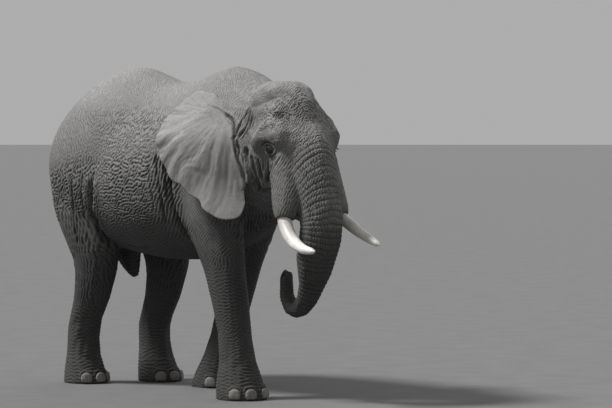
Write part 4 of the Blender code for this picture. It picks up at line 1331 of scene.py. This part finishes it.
def dressed(obj, material, slot, *nodes):
    """Gives a piece its material and smooth shading, hides the nodes it stands for, and hangs it on the
    root.
    """
    obj.data.materials.clear()
    obj.data.materials.append(material)
    obj.data.shade_smooth()
    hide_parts(*nodes)
    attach(obj, "root")
    return obj


def rounded_end(path, radii):
    """The path and radii with a round end added, so that the last ring is small."""
    turns = np.radians(ROUND_END)
    more = path[-1] + radii[-1] * np.sin(turns)[:, None] * unit(path[-1] - path[-2])
    return np.concatenate([path, more]), np.concatenate([radii, radii[-1] * np.cos(turns)])


def tusks():
    ivory = ivory_material()
    turns = round_turns(TUSK_AROUND)
    for number, word in enumerate(TUSKS):
        path, radii = rounded_end(*tusk_path(word))
        run = unit(np.gradient(path, axis=0))
        aside = unit(np.cross(run, UP))
        above = np.cross(aside, run)
        along = np.linspace(0, 1, len(path))
        worn = waver(50 + number, along[:, None] * 6, np.cos(turns) * 2.2, np.sin(turns) * 2.2)
        thick = radii[:, None] * (1 + TUSK_UNEVEN * worn)
        obj = loft(f"ivory_{word}", path[:, None] + spokes(turns, aside, above) * thick[..., None])
        keep_values(obj.data, "along", np.append(np.repeat(along, TUSK_AROUND), (0, 1)) * TUSK_WORN[word])
        dressed(obj, ivory, "ivory", f"tusk_{word}")


def toenails():
    """Arched nails with a straight worn edge, ribbed from root to edge: one piece for each foot."""
    horn = nail_material()
    tilt = np.radians(np.linspace(-NAIL_TOP, NAIL_TOP, NAIL_RINGS))[:, None]
    turn = round_turns(NAIL_AROUND)[None]
    ways = np.stack([np.cos(tilt) * np.cos(turn), np.cos(tilt) * np.sin(turn), np.sin(tilt) + 0 * turn], -1)
    power = np.where(ways[..., 2] > 0, *NAIL_SQUARE)[..., None]
    square = np.sum(np.abs(ways) ** power, axis=-1, keepdims=True) ** (-1 / power)
    feet = {}
    for number, (node, (middle, axes, half)) in enumerate(nail_frames().items()):
        place = ways * square * half * NAIL_GROWTH
        place[..., 2] = np.maximum(place[..., 2], NAIL_WORN * half[2])
        (wide, slow), (fine, fast) = NAIL_RIBS
        ribs = wide * np.sin(place[..., 0] * slow) + fine * np.sin(place[..., 0] * fast + number)
        place[..., 1] += ribs * (ways[..., 1] > 0.1)
        foot = "_".join(node.split("_")[1:3])
        feet.setdefault(foot, {})[node] = loft(node + "_horn", middle + place @ axes)
    for foot, nails in feet.items():
        dressed(joined(f"nails_{foot}", list(nails.values())), horn, "nail", *nails)


def eyes():
    glass = eye_material()
    angle = np.linspace(EYE_GAP, np.pi - EYE_GAP, EYE_RINGS)
    bulge = CORNEA[1] * (1 - step(angle, 0, CORNEA[0]))
    for word in SIDES:
        middle, out, ahead, up = eye_frame(word)
        look = unit(out + EYE_LOOK[0] * ahead + EYE_LOOK[1] * up)
        aside = np.cross(up, look)
        around = spokes(round_turns(EYE_AROUND), aside, np.cross(look, aside))
        rings = np.cos(angle)[:, None, None] * look + np.sin(angle)[:, None, None] * around
        obj = loft(f"eyeball_{word}", middle + rings * (EYE_RADIUS + bulge)[:, None, None])
        keep_values(obj.data, "gaze", np.append(np.repeat(angle, EYE_AROUND), (0, np.pi)) / np.pi)
        dressed(obj, glass, "eye", f"eye_{word}")


def hairs(name, roots, elbows, tips, radius, uv_places):
    """Tapered hairs with three sides, each on a curve from its root past an elbow to its tip."""
    share = np.linspace(0, 1, HAIR_STEPS)[None, :, None]
    path = roots[:, None] * (1 - share) ** 2
    path = path + 2 * elbows[:, None] * share * (1 - share) + tips[:, None] * share ** 2
    run = unit(tips - roots)
    aside = unit(np.cross(run, HAIR_LEAN))
    around = spokes(round_turns(HAIR_SIDES), aside, np.cross(run, aside))
    thick = radius * (1 - 0.85 * share) ** 0.7
    points = (path[:, :, None] + around[:, None] * thick[..., None]).reshape(-1, 3)
    index = np.arange(len(points)).reshape(-1, HAIR_STEPS, HAIR_SIDES)
    beside = np.roll(index, -1, axis=2)
    sides = index[:, :-1], index[:, 1:], beside[:, 1:], beside[:, :-1]
    faces = np.stack(sides, -1).reshape(-1, 4).tolist()
    faces += index[:, 0].tolist() + index[:, -1, ::-1].tolist()
    mesh = bpy.data.meshes.new(name)
    mesh.from_pydata(points.tolist(), [], faces)
    squares = np.arange(HAIR_STEPS) / HAIR_STEPS, np.arange(HAIR_SIDES) / HAIR_SIDES
    patch = np.stack(np.meshgrid(*squares, indexing="ij"), -1)
    uv = (uv_places[:, None, None] + HAIR_PATCH * patch[None]).reshape(-1, 2)
    corners = rows_of(mesh.loops, "vertex_index", 1, np.int32)[:, 0]
    layer = mesh.uv_layers.new(name="OFBake")
    layer.data.foreach_set("uv", uv[corners].astype(np.float32).ravel())
    return linked(name, mesh)


def lashes(hair):
    """Long stiff lashes on both lids, the upper ones longer."""
    rng = np.random.default_rng(7)
    upper = np.arange(LASH_COUNT) % 3 > 0
    along = np.linspace(*LASH_ROW, LASH_COUNT) * OPENING[0]
    tall = np.where(upper, OPENING[1], -OPENING[2]) * np.sqrt(1 - (along / OPENING[0]) ** 2) * LASH_PLACE
    high = tall - LID_TILT * along
    height = lid_height(np.hypot(along, high)) - LASH_SUNK
    for word in SIDES:
        middle, out, ahead, up = eye_frame(word)
        roots = middle + along[:, None] * ahead + high[:, None] * up + height[:, None] * out
        length = LASH_LENGTH * np.where(upper, 1.0, LOWER_LASH) * rng.uniform(*LASH_VARIES, LASH_COUNT)
        fan = along / OPENING[0] * LASH_FAN + rng.normal(0, LASH_UNEVEN[0], LASH_COUNT)
        lift = np.where(upper, *LASH_LIFT) + rng.normal(0, LASH_UNEVEN[1], LASH_COUNT)
        way = unit(out + fan[:, None] * ahead + lift[:, None] * up)
        tips = roots + length[:, None] * (way - LASH_DROOP * up * upper[:, None])
        elbows = roots + LASH_ELBOW * length[:, None] * way
        places = np.stack([0.5 + along * 10, 0.5 + high * 10], 1)
        dressed(hairs(f"lashes_{word}", roots, elbows, tips, LASH_RADIUS, places), hair, "tail_hair")


def tail_hair(hair):
    """The tail's tuft: wiry hairs in a front and a rear row round its tapering end."""
    path = smooth_rows(TAIL_END, TAIL_STEPS)
    heights = path[::-1, 2]

    def on_tail(height):
        """Points on the tail's middle line."""
        return np.stack([np.interp(height, heights, path[::-1, k]) for k in (0, 1)] + [height], 1)

    rng = np.random.default_rng(11)
    top, bottom = TAIL_END[0][2] - 0.02, TAIL_END[-1][2]
    start = top - (top - ROOTS_END) * rng.uniform(0, 1, TUFT_COUNT) ** 0.8
    turn = rng.choice(TUFT_ROWS, TUFT_COUNT) * np.pi + rng.normal(0, TUFT_UNEVEN, TUFT_COUNT)
    spoke = np.stack([np.cos(turn), np.sin(turn), 0 * turn], 1)
    roots = on_tail(start) + spoke * TUFT_SUNK * np.interp(start, heights, path[::-1, 3])[:, None]
    length = np.minimum(rng.uniform(*TUFT_LENGTHS, TUFT_COUNT), start - bottom - 0.01)
    spread = rng.uniform(*TUFT_SPREADS, TUFT_COUNT)[:, None]
    tips = on_tail(start - length) + spread * spoke
    elbows = on_tail(start - 0.5 * length) + TUFT_BOW * spread * spoke
    places = np.stack([turn / (2 * np.pi) % 1, 0.1 + 0.6 * (top - start)], 1)
    tuft = hairs("tail_hairs", roots, elbows, tips, TUFT_RADIUS, places)
    circle = spokes(round_turns(CORE_AROUND), np.array((1, 0, 0)), np.array((0, 1, 0)))
    rows = path[(path[:, 2] < CORE_TOP) & (path[:, 2] > ROOTS_END - 0.05)]
    taper = np.linspace(1, 0.25, len(rows)) ** 0.7
    core = loft("tail_core", rows[:, None, :3] + circle[None] * (rows[:, 3] * taper)[:, None, None])
    core.data.uv_layers.new(name="OFBake")
    dressed(joined("tail_hairs", [tuft, core]), hair, "tail_hair", "tail_tuft")


# ---------------------------------------------------------------- stage
SKY_BRIGHT = 0.42
SUNS = {  # where the light comes from, its strength, and its width in degrees
    "sun": ((-0.46, 0.40, 0.79), 3.9, 12.0),
    "fill": ((0.85, 0.15, 0.45), 0.45, 60.0),
}
FLOOR_RADIUS = 900


def floor():
    shape = bmesh.new()
    bmesh.ops.create_circle(shape, cap_ends=True, segments=96, radius=FLOOR_RADIUS)
    found = new_object("floor", shape)
    n = Nodes("floor")
    n.put(n.shader, "Base Color", n.ramp(n.noise(3.0, 4.0), (0.3, grey(0.135)), (0.7, grey(0.155))))
    n.put(n.shader, "Roughness", 0.9)
    found.data.materials.append(n.material)


def lights():
    """A bright overcast sky, a broad sun high behind the right shoulder, and a weak fill from the left."""
    world = bpy.data.worlds.new("sky")
    world.use_nodes = True
    background = world.node_tree.nodes["Background"]
    background.inputs["Color"].default_value = (*grey(1.0), 1)
    background.inputs["Strength"].default_value = SKY_BRIGHT
    bpy.context.scene.world = world
    bpy.context.scene.view_settings.view_transform = "Standard"
    for name, (way, power, width) in SUNS.items():
        light = bpy.data.lights.new(name, "SUN")
        light.energy, light.angle = power, math.radians(width)
        linked(name, light).rotation_euler = Vector(way).to_track_quat("Z", "Y").to_euler()


def camera():
    turn = math.radians(CAMERA_AZIMUTH)
    away = Vector((-math.sin(turn), -math.cos(turn), 0))
    right = Vector((math.cos(turn), -math.sin(turn), 0))
    home = Vector((0, WITHERS_BACK, CAMERA_HEIGHT))
    at = home + away * CAMERA_AWAY
    look = (home + right * CAMERA_ASIDE - at).normalized()
    look.z = -math.tan(math.radians(CAMERA_PITCH))
    data = bpy.data.cameras.new("camera")
    data.lens, data.sensor_width, data.clip_end = LENS, SENSOR, CAMERA_FAR
    found = linked("camera", data)
    found.location = at
    found.rotation_euler = look.to_track_quat("-Z", "Y").to_euler()
    bpy.context.scene.camera = found


# ---------------------------------------------------------------- all together
def skin():
    flesh = fused_flesh()
    round_flesh(flesh)
    join_ears(flesh)
    soften_joins(flesh)
    tip = Vector(trunk_line()["points"][-1])
    spots = [(middle_of_node(f"eye_{word}"), EYE_REFINED) for word in SIDES]
    refine(flesh.data, [*spots, (tip, TIP_REFINED), (in_head(*FACE_MIDDLE), FACE_REFINED)])
    shape_skin(flesh)
    return dressed(flesh, hide_material(), "hide", *[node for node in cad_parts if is_flesh(node)])


skin()
tusks()
toenails()
eyes()
tail_material = hair_material()
lashes(tail_material)
tail_hair(tail_material)
floor()
lights()
camera()
